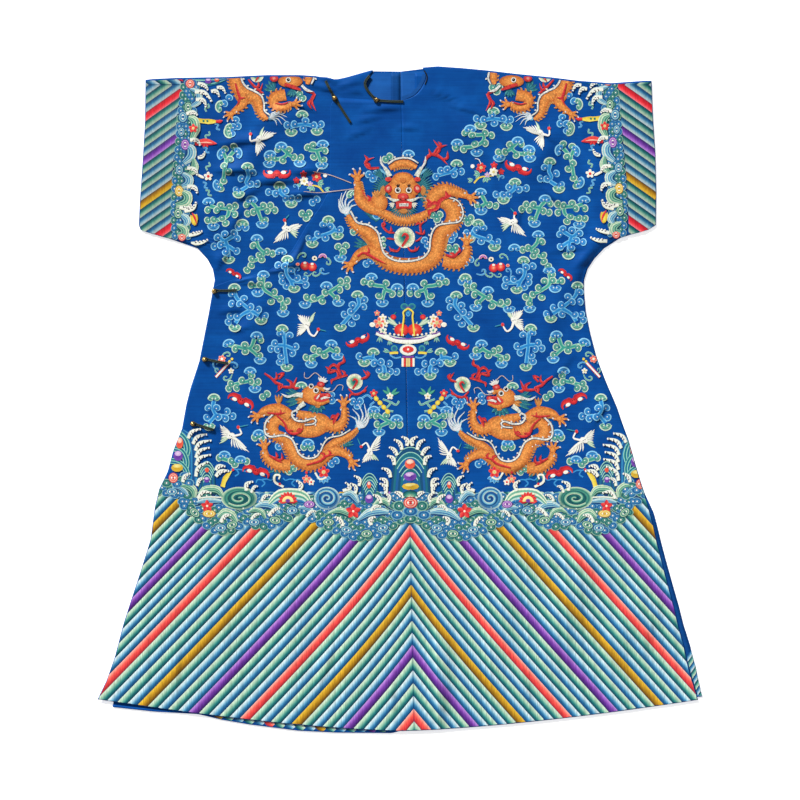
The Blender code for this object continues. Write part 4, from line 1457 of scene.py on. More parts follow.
def mountain(x, y, half, height):
    """Nested hills: arches of teal and blue with pale lines between them."""
    hills = []
    t = np.linspace(-1, 1, 15)
    edge = np.abs(t)
    crown = np.where(edge < 0.55, 1.0 - 0.42 * edge / 0.55, 0.58 * (1 - (edge - 0.55) / 0.45))
    flank = 0.55 + 0.45 * (1 - edge ** 2.2)
    outline = np.where(edge < 0.97, np.maximum(flank, crown * 0.5), 0.0)
    for k, share in enumerate((1.0, 0.89, 0.78, 0.66, 0.54, 0.42)):
        rise = (height * share * outline)[None] * (1 - np.linspace(0, 1, 3)[:, None])
        px = np.broadcast_to(x + half * share * t, rise.shape)
        lift = 1.0 + 0.12 * k
        hill = np.stack([px, y + rise, np.full(rise.shape, lift)], -1)
        hills.append(field(hill, HILL_TONES[k % 3], np.stack([px, 0.2 * rise], -1)))
        line = np.stack([px[0], y + rise[0]], -1)[1:-1]
        hills.append(band(line, 1.8, PALE_LINE, lift + 0.1, dome=0.1, count=24, across=2))
    return join(*hills)


def heart(x, y, width, height, base, top):
    """The heart of a hill, in two tones."""
    return join(oval(x, y, width / 2, height / 2, base, lift=2.0, around=10),
                oval(x, y + 0.22 * height, width * 0.36, height * 0.26, top, lift=2.2, around=8))


HEART_RED, HEART_TOP = steps("#e33f34", "#ef6a4c"), steps("#fbe3cf", "#f6b79c")
HEART_PURPLE, HEART_LILAC = steps("#5b2a90", "#7b4bb0"), steps("#e9cfe9", "#c9a3d6")
HEART_OCHRE, HEART_STRAW = steps("#c99a1f", "#dcb43a"), steps("#f4e59a", "#e8cf62")
SUN_CREST = steps("#0f4a8c", "#2a79b4", "#b9dcd2", "#4e9c88", "#dfe8cc", "#6fae93", "#e6ecd4")
WATER_BANDS = steps("#1a5c98", "#3f94c4", "#1a5c98", "#0f4a84", "#2f86b8", "#1a5c98", "#1b7a88", "#2f86b8")
HILL_BANDS = steps("#8fd0b8", "#1b7a88", "#1a5c98", "#8fd0b8", "#1b7a88", "#176a7c", "#8fd0b8")


def side_mountain():
    """The mountain on the side seam, of which the front has one half: three hearts,
    each under its own hill of bands, and the water that climbs it."""
    return join(
        band(((-441, -178), (-440, -140), (-441, -104), (-449, -78), (-462, -64)), (27, 27, 25, 18, 8),
             WATER_BANDS, 0.6, count=20, sharp=True),
        band(((-482, -70), (-468, -72), (-456, -84), (-451, -102), (-454, -116)), 14, HILL_BANDS, 1.0,
             count=18, sharp=True),
        band(((-486, -101), (-470, -103), (-459, -112), (-453, -128), (-454, -142)), 13, HILL_BANDS,
             1.15, count=18, sharp=True),
        band(((-492, -127), (-474, -129), (-462, -136), (-453, -148), (-452, -160)), 12, HILL_BANDS,
             1.3, count=18, sharp=True),
        heart(-467, -90, 16, 24, HEART_RED, HEART_TOP),
        heart(-470, -117, 20, 22, HEART_PURPLE, HEART_LILAC),
        heart(-472, -142, 25, 17, HEART_OCHRE, HEART_STRAW), bead(-480, -163, 10, 11, PALE_RED, 2.2),
        lobe(-462, -168, 12, 9, GREEN_WATER, 1.8), lobe(-448, -174, 12, 9, BLUE_WATER, 1.8),
        lobe(-494, -174, 12, 9, GREEN_WATER, 1.8), lobe(-472, -176, 12, 9, BLUE_WATER, 1.9),
        lobe(-456, -158, 11, 8, BLUE_WATER, 1.7),
    )


# foam: root, middle and tip of each claw, its width and its side
SIDE_CLAWS = (
    (((-444, -80), (-436, -66), (-417, -60)), 7.5, -1),
    (((-434, -92), (-425, -77), (-404, -71)), 7.5, -1),
    (((-429, -106), (-420, -90), (-395, -84)), 7.5, -1),
    (((-428, -121), (-420, -106), (-399, -99)), 7.5, -1),
    (((-428, -137), (-420, -121), (-396, -114)), 7.5, -1),
    (((-428, -160), (-423, -141), (-402, -129)), 7.5, -1),
)
FOAM_CLAWS = (
    (((-455, -172), (-452, -160), (-440, -153)), 8, -1),
    (((-425, -180), (-421, -167), (-411, -163)), 7, -1),
    (((-386, -147), (-380, -138), (-366, -138)), 8, -1),
    (((-386, -160), (-376, -149), (-358, -148)), 8.5, -1),
    (((-424, -206), (-413, -192), (-395, -194)), 7.5, -1),
    (((-376, -256), (-367, -242), (-354, -240)), 8, -1),
    (((-322, -190), (-322, -176), (-308, -170)), 8, -1),
    (((-312, -194), (-306, -182), (-298, -180)), 6, -1),
    (((-290, -212), (-284, -201), (-272, -198)), 7, -1),
    (((-212, -190), (-206, -178), (-216, -168)), 8, 1),
    (((-276, -242), (-263, -229), (-252, -226)), 7.5, -1),
    (((-312, -250), (-303, -240), (-292, -238)), 6.5, -1),
    (((-196, -244), (-188, -234), (-176, -232)), 6.5, -1),
    (((-120, -190), (-104, -184), (-114, -172)), 7, 1),
    (((-94, -196), (-92, -182), (-104, -174)), 7, 1), (((-86, -180), (-84, -166), (-96, -158)), 7, 1),
    (((-40, -216), (-44, -204), (-56, -198)), 8, 1), (((-24, -214), (-22, -202), (-32, -194)), 7, 1),
    (((-30, -196), (-30, -182), (-42, -174)), 8, 1), (((-28, -182), (-30, -168), (-42, -164)), 8, 1),
    (((-20, -162), (-24, -148), (-38, -142)), 8, 1), (((-12, -136), (-14, -122), (-26, -116)), 8, 1),
    (((-6, -116), (-12, -104), (-22, -98)), 8, 1), (((4, -104), (0, -90), (-12, -82)), 8, 1),
    (((14, -96), (16, -84), (4, -76)), 8, 1), (((-62, -232), (-52, -222), (-40, -222)), 7, -1),
    (((-120, -264), (-124, -252), (-136, -244)), 8, 1),
    (((-60, -262), (-64, -250), (-52, -244)), 8, -1), (((8, -204), (0, -196), (-10, -192)), 9, 1),
)


def half_waves():
    """Everything on the water of one half, from the side seam to the middle."""
    parts = [
        # water between the crests
        lobe(-458, -196, 11, 9, BLUE_WATER, 1.6), lobe(-446, -200, 11, 9, GREEN_WATER, 1.6),
        lobe(-452, -222, 11, 9, BLUE_WATER, 1.6), lobe(-439, -226, 11, 9, GREEN_WATER, 1.6),
        # small mountains
        mountain(-405, -190, 19, 61), heart(-404.5, -146.7, 9, 10, HEART_RED, HEART_RED),
        heart(-405, -167, 12, 12, HEART_PURPLE, HEART_LILAC), mountain(-64, -216, 20, 62),
        heart(-65, -178, 9, 15, HEART_RED, HEART_TOP),
        heart(-65, -207, 17, 18, HEART_PURPLE, HEART_LILAC),
        # spirals
        spiral(-337, -206, 37.6, 24, GREEN_CREST, spin=-1), spiral(-153, -206, 27, 24, BLUE_CREST),
        # crests, along the middle of each
        crest(((-462, -180), (-446, -181), (-434, -190), (-432, -204)), 19, GREEN_CREST),
        crest(((-478, -186), (-466, -182), (-452, -190), (-444, -200)), 13, BLUE_CREST),
        crest(((-421, -197), (-406, -188), (-384, -189), (-372, -202)), 19, GREEN_CREST),
        band(((-424, -206), (-400, -203), (-374, -204)), 3.0, CREST_WHITE, 2.1, count=8),
        crest(((-426, -215), (-402, -211), (-374, -213)), 14, BLUE_CREST),
        crest(((-276, -221), (-256, -204), (-231, -200), (-204, -204), (-190, -217)), 31, SUN_CREST),
        crest(((-303, -224), (-285, -219), (-267, -223), (-253, -238)), 18, BLUE_CREST),
        crest(((-382, -246), (-367, -237), (-352, -243), (-343, -256)), 21, GREEN_CREST),
        crest(((-318, -236), (-304, -230), (-290, -236), (-282, -248)), 14, GREEN_CREST),
        crest(((-214, -226), (-200, -226), (-186, -232), (-178, -246)), 13, BLUE_CREST),
        crest(((-120, -200), (-106, -196), (-96, -204), (-88, -216)), 16, BLUE_CREST),
        crest(((-150, -238), (-128, -232), (-106, -240), (-96, -250)), 15, GREEN_CREST),
        crest(((-88, -252), (-66, -238), (-44, -234), (-24, -236)), 20, BLUE_CREST),
        crest(((-56, -222), (-42, -212), (-30, -214), (-24, -222)), 15, GREEN_CREST),
        # flowers and beads on the water
        fan(-235, -212, 20, (0, 22, 44, 67, 90, 113, 136, 158, 180), 10, RED_FLAME, 2.2),
        arch(-235, -213, 0.5, 12, 0, 180, PALE_OCHRE[[2, 1, 3, 0]], lift=2.6),
        oval(-235, -211, 5, 4, PALE_PURPLE[[2, 1]], lift=2.9, around=8),
        bead(-190, -218.5, 12, 8, PALE_PURPLE, 2.4), bead(-400, -238, 14, 8, PALE_OCHRE, 2.2),
        fan(-404, -222, 13, (20, 92, 164, 236, 308), 9, RED_FLAME, 2.2),
        fan(-98, -233, 16, (18, 90, 162, 234, 306), 11, RED_FLAME, 2.2),
        dots(((-404, -222), (-98, -233)), 2.6, CREAM, 2.6),
    ]
    # the last are claws of foam, along the crests, spirals and hills
    return join(*parts, *claws(FOAM_CLAWS))


middle_waves = join(
    mountain(22, -196, 42, 97), heart(21, -134, 22, 21, HEART_RED, HEART_TOP),
    heart(21, -160, 28, 19, HEART_PURPLE, HEART_LILAC),
    heart(22, -181, 36, 15, HEART_OCHRE, HEART_STRAW),
    arch(22, -204, 2, 19, 10, 170, GREEN_CREST, flat=0.8, lift=2.2),
    bead(22, -215, 15, 12, PALE_RED, 3.0), lobe(22, -233, 17, 11, BLUE_WATER, 2.4),
    lobe(-2, -222, 13, 11, GREEN_WATER, 2.2), lobe(46, -222, 13, 11, GREEN_WATER, 2.2),
    lobe(22, -249, 15, 9, GREEN_WATER, 2.2), lobe(-6, -241, 14, 10, BLUE_WATER, 2.1),
    lobe(50, -241, 14, 10, BLUE_WATER, 2.1),
)
WAVE_MIRROR, WAVE_SEAM, LEFT_SHARE = 40.5, 20.5, 0.972
right_half = half_waves()
left_half = move(right_half, WAVE_MIRROR, flip=True)
left_half[0][:, 0] = WAVE_SEAM + (left_half[0][:, 0] - WAVE_SEAM) * LEFT_SHARE
side_claws = join(*claws(SIDE_CLAWS))
side_hills = join(move(side_mountain(), 5.0, 0.0), side_claws,
                  move(side_mountain(), 24.0, -13.0, flip=True),
                  move(side_claws, 30.0, -9.0, flip=True))
embroider("water_lobes", kept_inside(join(lobes(False), lobes(True))))
embroider("waves_and_mountains", kept_inside(join(side_hills, right_half, left_half, middle_waves)))

# %% [markdown]
# ## Clouds
# The ground is filled with small branching clouds. A thick stem carries round curls,
# each with one white eye, and ends in mushroom caps with two. A green cloud has blue
# caps and a blue cloud has green ones. Each pattern gives its curls, its caps with
# their turn, and its stems, in millimetres from its own middle.

# %% cloud heads
CLOUD_GREEN = steps("#12505f", "#2e8581", "#69b297", "#c6e0c6")
CLOUD_BLUE = steps("#0c458f", "#1767ad", "#2f8fcb", "#8bcdec")
CURL_X, CURL_Y = 8.4, 7.2


def curl(family):
    """A round curl. Its rings crowd together low down, as y drops by 1.8 * (1 - r), and
    the pale rim dies away at the foot, where the curl grows out of the stem."""
    disc = oval(0, 0, CURL_X, CURL_Y, family[[1, 2, 1, 2, 0, 3, 3]], around=10, lift=0.55)
    disc[0][:, 1] -= 1.8 * (1 - np.hypot(disc[0][:, 0] / CURL_X, disc[0][:, 1] / CURL_Y))
    foot = np.clip(-disc[0][:, 1:2] / 4.0 - 0.5, 0, 1)
    tinted = (disc[0], disc[1], disc[2] * (1 - foot) + family[1] * foot, disc[3])
    return join(tinted, oval(0.4, -2.2, 1.4, 1.4, WHITE, lift=0.95, around=5))


def cap(family):
    """A mushroom cap: an arched fan of dark and pale rings over two small lobes."""
    roof = arch(0, -4.0, 1.0, 13.4, -2, 182, family[[1, 2, 1, 2, 0, 3, 3]], flat=0.88, sharp=False,
                around=11)
    pads = [oval(x, -3.6, 5.6, 4.4, family[[1, 2, 0, 2, 3]], around=8, lift=0.65) for x in (-6.4, 6.4)]
    return join(roof, *pads, dots(((-3.6, -3.2), (3.6, -3.2)), 1.3, WHITE, 1.0))


CLOUD_HEADS = [(curl(family), cap(family)) for family in (CLOUD_GREEN, CLOUD_BLUE)]
GREEN, BLUE = 0, 1

# %% cloud patterns
CLOUDS = {
    "compact": (GREEN,
                ((-27, 3), (-8, 3), (0, 14), (19, 9), (31, 12), (30, -6), (4, -15), (11, -25),
                 (-27, -19), (-14, -18)),
                ((-25, 22, 0), (-15, -33, 180)),
                (((-22, 12), (-10, 8), (15, 6), (28, 2)), ((18, 4), (12, -12), (-20, -22)))),
    "splay": (GREEN, ((-27, 13), (-25, -6), (-13, -3), (9, 11), (24, 11), (17, 0), (33, 1), (12, -20)),
              ((-16, 24, 0), (6, -30, 180)),
              (((-16, 18), (-6, 4), (-18, -5)), ((-6, 4), (10, 5), (28, 3)), ((-4, 2), (6, -24)))),
    "cross": (GREEN, ((-17, 11), (7, 10), (-7, -13), (17, -6), (31, -7), (-38, -8), (-26, -9)),
              ((-10, 19, 0), (-34, 1, 10), (-35, -21, 180), (29, -20, 180)),
              (((-8, 14), (2, 2), (-8, -8), (-28, -11)), ((2, 2), (26, -12)))),
    "column": (GREEN, ((-4, 41), (15, 46), (7, 20), (-6, 6), (4, -7), (-7, -26), (-13, -42)),
               ((-13, 32, 70), (25, 34, -70), (-22, -36, 110)),
               (((-8, 34), (0, 22), (14, 36)), ((0, 22), (-4, 0), (-8, -24), (-14, -36)))),
    "wave": (BLUE, ((13, 18), (-12, 5), (8, -7), (22, -6), (-22, -19)), ((2, 31, 0), (-17, -29, 180)),
             (((1, 24), (4, 10), (-2, -2), (2, -10), (-12, -20)), ((2, -8), (16, -9)))),
    "bridge": (BLUE, ((-9, -1), (-24, 2), (13, 5), (13, -12), (40, -11), (25, -12)),
               ((0, 16, 0), (24, -24, 180)),
               (((0, 10), (0, 2), (-18, 1)), ((0, 2), (12, -8), (34, -12)))),
    "star": (BLUE, ((-4, 24), (-20, 17), (16, 26), (22, 15), (-14, 1), (-27, -2), (-2, -15), (21, -12)),
             ((4, -31, 180),),
             (((-16, 18), (-4, 10), (14, 20)), ((-4, 12), (2, -4), (4, -24)),
              ((-18, 0), (0, 0), (16, -10)))),
    "branch": (GREEN,
               ((-17, 15), (13, 2), (24, -2), (-4, -6), (1, -15), (-20, -14), (-21, -27), (-30, -37)),
               ((-9, 31, 0), (41, 3, 0)),
               (((-10, 24), (-6, 12), (8, 0), (32, 0)), ((6, -2), (-4, -12), (-20, -20), (-26, -32)))),
    "ladder": (BLUE,
               ((-27, 19), (-13, 17), (1, 8), (-19, -4), (-18, -16), (14, -9), (30, -10), (32, -23),
                (-9, -26)),
               ((-7, 32, 0), (7, -32, 180)),
               (((-8, 26), (-10, 12), (-8, -2), (0, -14), (4, -26)),
                ((-2, -14), (12, -16), (26, -16)))),
    "long": (GREEN,
             ((-16, 28), (-36, 14), (-18, 15), (0, 14), (13, -1), (6, -21), (25, -15), (40, -20),
              (32, -34)),
             ((-10, 37, 0), (-22, -4, 180), (31, -46, 180)),
             (((-10, 30), (-12, 14), (-6, 2), (14, -10), (28, -18), (30, -36)),
              ((-12, 12), (-30, 12)))),
    "river": (BLUE,
              ((-28, 30), (-28, 9), (-11, 9), (-2, 20), (13, 2), (29, -4), (11, -18), (-17, -19),
               (-31, -18), (-35, -30), (43, -17)),
              ((-22, 44, 0), (34, -28, 180), (-21, -43, 180)),
              (((-22, 36), (-18, 22), (-4, 8), (14, -6), (30, -16)),
               ((10, -6), (-8, -16), (-20, -32)))),
    "arm": (BLUE, ((-3, 16), (13, 13), (33, 5), (2, -13), (-15, -5), (-33, -14)),
            ((8, 27, 0), (27, -9, 180), (-26, -26, 180)),
            (((10, 20), (20, 6), (10, -2), (-14, -10), (-26, -18)), ((20, 4), (30, 2)))),
    "fork": (GREEN, ((-8, 13), (9, 15), (3, 3)), ((-3, -13, 180),), (((-4, 10), (0, 0), (-2, -10)),)),
    "spread": (GREEN,
               ((-3, -2), (-27, -13), (-42, -12), (-9, -20), (30, 22), (44, 25), (43, 12), (28, 4),
                (21, -14)),
               ((0, 14, 0), (-45, -28, 180), (25, -24, 180)),
               (((-40, -20), (-20, -16), (0, -4), (20, 8), (36, 18)), ((6, 0), (24, -18)))),
    "stag": (GREEN, ((-21, -1), (0, 8), (1, -7), (33, 18), (26, 1), (31, -16)),
             ((-35, 12, 20), (25, 28, 0), (32, -26, 180)),
             (((-34, 8), (-18, 4), (4, 0), (14, 4), (20, 20)), ((10, 0), (30, -18)))),
    "tower": (BLUE,
              ((-9, 30), (11, 26), (-21, 9), (-29, -3), (-15, -4), (24, 2), (17, -12), (-7, -19),
               (-10, -31)),
              ((-5, 41, 0), (5, -43, 180)),
              (((-4, 34), (0, 18), (0, 2), (2, -16), (4, -34)), ((-20, 4), (0, 4), (20, -4)))),
    "boat": (GREEN, ((-21, 6), (-10, 1), (-37, -12), (-24, -16), (2, -8), (28, 3)),
             ((16, 18, 0), (29, -10, 180), (-26, -27, 180)),
             (((-34, -14), (-14, -6), (4, 0), (16, 8)), ((12, 6), (26, -2)))),
    "leap": (GREEN, ((10, 15), (-11, 4), (9, 2), (24, 1), (-34, -3), (-38, -13), (-22, -12)),
             ((7, 25, 0), (17, -15, 180)),
             (((8, 16), (6, 4), (-10, 0), (-30, -6)), ((8, 2), (18, -8)))),
    "sail": (BLUE, ((-10, 12), (8, 12), (-13, -9), (30, 4), (27, -11), (42, -6), (12, -8)),
             ((2, 34, 0), (-8, -29, 180)),
             (((2, 26), (0, 10), (8, -4), (28, -6)), ((6, -4), (-8, -20)))),
    "wing": (GREEN, ((-36, 14), (-21, 10), (11, 11), (24, -12), (40, -10), (-4, -16)),
             ((-20, 25, 0), (34, 3, 0), (3, -32, 180)),
             (((-30, 12), (-10, 6), (6, 4), (12, -4), (30, -6)), ((8, -4), (2, -24)))),
    "slope": (BLUE, ((22, 24), (-4, 13), (20, 9), (-21, -8), (-8, -2), (4, -13), (-5, -27)),
              ((7, 35, 0), (-29, -36, 180)), (((8, 28), (10, 14), (0, 0), (-12, -14), (-26, -30)),)),
    "perch": (BLUE, ((-40, 15), (-9, 0), (7, 3), (24, -1), (3, -15), (26, -18), (39, -18)),
              ((-10, 25, 0), (-29, 0, 180), (13, -28, 180)),
              (((-32, 8), (-16, 12), (-4, 4), (12, -6), (14, -20)), ((-12, 10), (-10, 20)))),
    "nest": (GREEN, ((-35, 16), (-22, 14), (-2, 15), (11, -6), (27, -5), (-21, -4)),
             ((-28, 27, 0), (20, 9, 0), (-17, -22, 180)),
             (((-28, 20), (-10, 10), (4, 2), (20, 0)), ((2, 0), (-14, -8), (-16, -16)))),
    "double": (GREEN,
               ((-17, 15), (-2, 10), (26, 15), (39, 10), (26, -7), (4, -9), (-20, -20), (-37, -16)),
               ((-6, 24, 0), (-33, -5, 0), (8, -28, 180)),
               (((-8, 16), (6, 10), (22, 10), (20, -4), (0, -14), (-28, -16)),)),
    "stray": (BLUE, ((-17, 2), (-4, 5), (-27, -11), (12, -6), (27, 0)), ((17, 18, 0),),
              (((-24, -8), (-8, -4), (8, 0), (16, 8)),)),
    "anchor": (GREEN, ((-17, -6), (9, -5), (22, -7)), ((-10, 23, 0), (-9, -19, 180)),
               (((-8, 16), (0, 0), (-8, -8)), ((0, 0), (14, -8)))),
    "gull": (BLUE, ((-36, 2), (-21, 4), (-2, -6), (21, 2), (36, 4), (3, 12)),
             ((-27, -14, 180), (27, -12, 180)), (((-30, -2), (0, 4), (30, -2)),)),
    "cut": (GREEN, ((-19, 13), (-8, 18), (18, 6), (-6, -8), (15, -14)), ((13, 21, 0), (11, -26, 180)),
            (((-16, 8), (0, 6), (14, 10)), ((0, 6), (10, -20)))),
    "crumb": (GREEN, ((-8, -4), (8, -5)), ((1, 6, 0),), (((-6, -2), (6, -2)),)),
    "trio": (GREEN, ((-8, 3), (8, 4), (2, -7)), (), (((-6, 0), (6, 0)),)),
    "bud": (GREEN, ((5, 4), (-5, -3)), (), ()), "cap": (BLUE, (), ((0, 0, 0),), ()),
    "drift": (GREEN, ((-30, 5), (-5, -2), (3, -10), (28, -3)), ((-19, 12, 0), (15, 2, 0)),
              (((-24, 4), (0, -4), (22, -2)),)),
}


def cloud(pattern, dye=None, heads=CLOUD_HEADS):
    """One cloud. A curl's rim is turned to face away from the cloud's middle."""
    base, curls, caps, stems = CLOUDS[pattern]
    base = base if dye is None else dye
    tops = [move(heads[base][0], x, y, math.degrees(math.atan2(y, x)) - 90.0) for x, y in curls]
    tops += [move(heads[1 - base][1], x, y, turn, lift=0.2) for x, y, turn in caps]
    branches = [band(stem, (9.5, 7.5, 9), STEM_FLOSS[base], 0.3, count=2 * len(stem) + 1, across=5)
                for stem in stems]
    return join(*branches, *tops)


# pattern, then x and y on the wearer's right half, then x and y on the left half
CLOUDS_AT = (
    ("gull", -201, 574, 196, 586), ("cross", -239, 515, 237, 526), ("column", -363, 485, 357, 491),
    ("wave", -321, 459, 316, 470), ("bridge", -252, 434, 241, 442), ("compact", -376, 395, 361, 399),
    ("splay", -295, 397, 288, 399), ("star", -363, 324, 357, 333), ("branch", -291, 309, 281, 317),
    ("ladder", -229, 264, 252, 262), ("long", -276, 227, 303, 236), ("river", -325, 193, 350, 197),
    ("arm", -158, 352, 172, 345), ("spread", -154, 227, 184, 217), ("stag", -325, 108, 353, 110),
    ("tower", -242, 110, 269, 111), ("boat", -160, 101, 187, 101), ("leap", -321, 37, 350, 37),
    ("sail", -392, -28, 423, -28), ("wing", -40, 234, 61, 234), ("slope", -96, 187, 125, 186),
    ("perch", -46, 77, 76, 77), ("nest", -27, -47, 70, -47), ("crumb", -297, -75, 331, -75),
    ("crumb", -194, -95, 227, -95), ("drift", -349, -126, 384, -126),
)
# the ones without a partner: pattern, its colour, x, y and turn
LONE_CLOUDS = (
    ("cut", GREEN, -175, 517, 0), ("fork", GREEN, -122, 309, 0), ("crumb", BLUE, -331, 366, 0),
    ("trio", GREEN, -198, 388, 0), ("crumb", BLUE, -355, 566, 80), ("trio", BLUE, -91, -6, 0),
    ("bud", GREEN, -26, 507, 0), ("trio", BLUE, -58, 470, 0), ("cap", BLUE, -101, 433, 20),
    ("bud", BLUE, -47, 391, 30), ("bud", BLUE, -179, 417, 0), ("bud", GREEN, -93, 355, 0),
    ("cap", BLUE, -37, 330, 90), ("bud", BLUE, -66, 288, 0), ("cap", BLUE, -205, 600, 0),
    ("bud", GREEN, -207, 637, 90), ("cap", BLUE, -207, 31, 0), ("bud", GREEN, -283, 9, 0),
    ("bud", BLUE, -143, 4, 60), ("bud", BLUE, -250, -95, 0), ("bud", BLUE, -139, -131, 0),
    ("bud", GREEN, -228, -147, 0), ("double", GREEN, 153, 545, 0), ("stray", BLUE, 102, 479, 0),
    ("anchor", GREEN, 179, 414, 0), ("trio", BLUE, 123, -6, 0), ("trio", BLUE, 106, 343, 0),
    ("trio", GREEN, 76, 385, 0), ("trio", GREEN, 110, 316, 0), ("crumb", BLUE, 136, 252, 0),
    ("trio", GREEN, 141, 378, 0), ("cap", GREEN, 18, 517, 0), ("bud", BLUE, 55, 330, 90),
    ("bud", BLUE, 143, 291, 0), ("crumb", BLUE, 353, 572, -80), ("trio", GREEN, 201, 653, 0),
    ("cap", BLUE, 196, 607, 0), ("cap", BLUE, 236, 30, 0), ("bud", GREEN, 311, 8, 0),
    ("bud", BLUE, 172, 3, 60), ("bud", BLUE, 281, -96, 0), ("bud", BLUE, 169, -132, 0),
    ("bud", GREEN, 257, -148, 0),
)
LONE_ON_THE_RIGHT = 22
lone = [move(cloud(name, dye), x, y, turn) for name, dye, x, y, turn in LONE_CLOUDS]
right_clouds = [move(cloud(name), x, y) for name, x, y, _, _ in CLOUDS_AT]
right_clouds += lone[:LONE_ON_THE_RIGHT]
left_clouds = [move(cloud(name), x, y, flip=True) for name, _, _, x, y in CLOUDS_AT]
left_clouds += lone[LONE_ON_THE_RIGHT:]
embroider("clouds_right_half", kept_inside(join(*right_clouds)))
embroider("clouds_left_half", kept_inside(join(*left_clouds)))

# %% [markdown]
# ## Waves of the sleeves
# Each cuff repeats the water of the skirt, turned on its side: a chain of lobes along
# the rolls, a row of arched crests towards the body, foam claws, and small emblems.

# %% sleeve waves
SLEEVE_WATER = np.array([
    (676, -442), (630, -447), (582, -452), (545, -454), (500, -458), (450, -462), (400, -465),
    (350, -463), (334, -460),
])
SHOULDER_TONES = steps("#8fcdb6", "#1c6a80", "#164b8c", "#12406f")
SHOULDER_BANDS = SHOULDER_TONES[[1, 1, 0, 2, 2, 2, 0, 1, 1, 3, 3, 0, 2, 2, 1, 1, 0]]
# foam: root, middle and tip of each claw, its width and its side
SLEEVE_CLAWS = (
    (((-430, 646), (-410, 645), (-394, 626)), 8.5, -1),
    (((-396, 647), (-385, 648), (-378, 636)), 7.5, -1),
    (((-384, 655), (-373, 655), (-365, 643)), 7, -1), (((-428, 630), (-412, 629), (-406, 614)), 8, -1),
    (((-424, 664), (-410, 660), (-402, 650)), 8, -1), (((-448, 600), (-434, 604), (-424, 598)), 8, -1),
    (((-440, 545), (-426, 545), (-418, 534)), 8, -1), (((-424, 508), (-414, 510), (-408, 520)), 7, 1),
    (((-446, 486), (-430, 484), (-424, 472)), 8, -1),
    (((-446, 448), (-430, 446), (-424, 434)), 8.5, -1), (((-462, 404), (-446, 401), (-436, 408)), 8, 1),
    (((-452, 396), (-434, 401), (-426, 414)), 8.5, 1), (((-443, 345), (-426, 349), (-414, 353)), 8, 1),
    (((-438, 328), (-419, 329), (-402, 335)), 8, 1),
)
# loose ribbons: x, y, turn and which floss
SLEEVE_RIBBONS = (
    (-403, 613, 70, 0), (-384, 572, -60, 1), (-402, 555, 60, 0), (-407, 523, -50, 1),
    (-401, 490, 70, 0), (-409, 449, -60, 1), (-402, 433, -50, 0),
)
# crests: the middle line, the width and the family of each
SLEEVE_CRESTS = (
    (((-444, 592), (-433, 585), (-430, 567), (-437, 547)), 23, GREEN_CREST),
    (((-449, 534), (-439, 525), (-440, 511), (-454, 497)), 23, BLUE_CREST),
    (((-433, 506), (-432, 486), (-442, 473)), 19, GREEN_CREST),
    (((-456, 474), (-444, 465), (-445, 454), (-457, 448)), 21, BLUE_CREST),
    (((-461, 438), (-447, 428), (-450, 415), (-470, 409)), 23, GREEN_CREST),
    (((-461, 390), (-448, 377), (-451, 366)), 19, BLUE_CREST),
    (((-467, 366), (-454, 358), (-454, 348), (-466, 349)), 21, GREEN_CREST),
    (((-440, 652), (-424, 644), (-424, 626), (-438, 616)), 16, BLUE_CREST),
)
# double-eyed lobes and beads: x, y, half sizes and family
SLEEVE_BEADS = (
    (-440, 663, 9.5, 9.5, PALE_RED), (-444, 614, 11, 8.5, GREEN_BEAD), (-455, 593, 12, 9.5, BLUE_BEAD),
    (-458, 562, 10, 7.5, BLUE_BEAD), (-450, 535, 12, 9, PALE_PURPLE), (-462, 482, 11, 8.5, BLUE_BEAD),
    (-463, 438, 11.5, 9, PALE_OCHRE), (-465, 391, 11.5, 9, GREEN_BEAD), (-457, 342, 9, 8, PALE_RED),
)


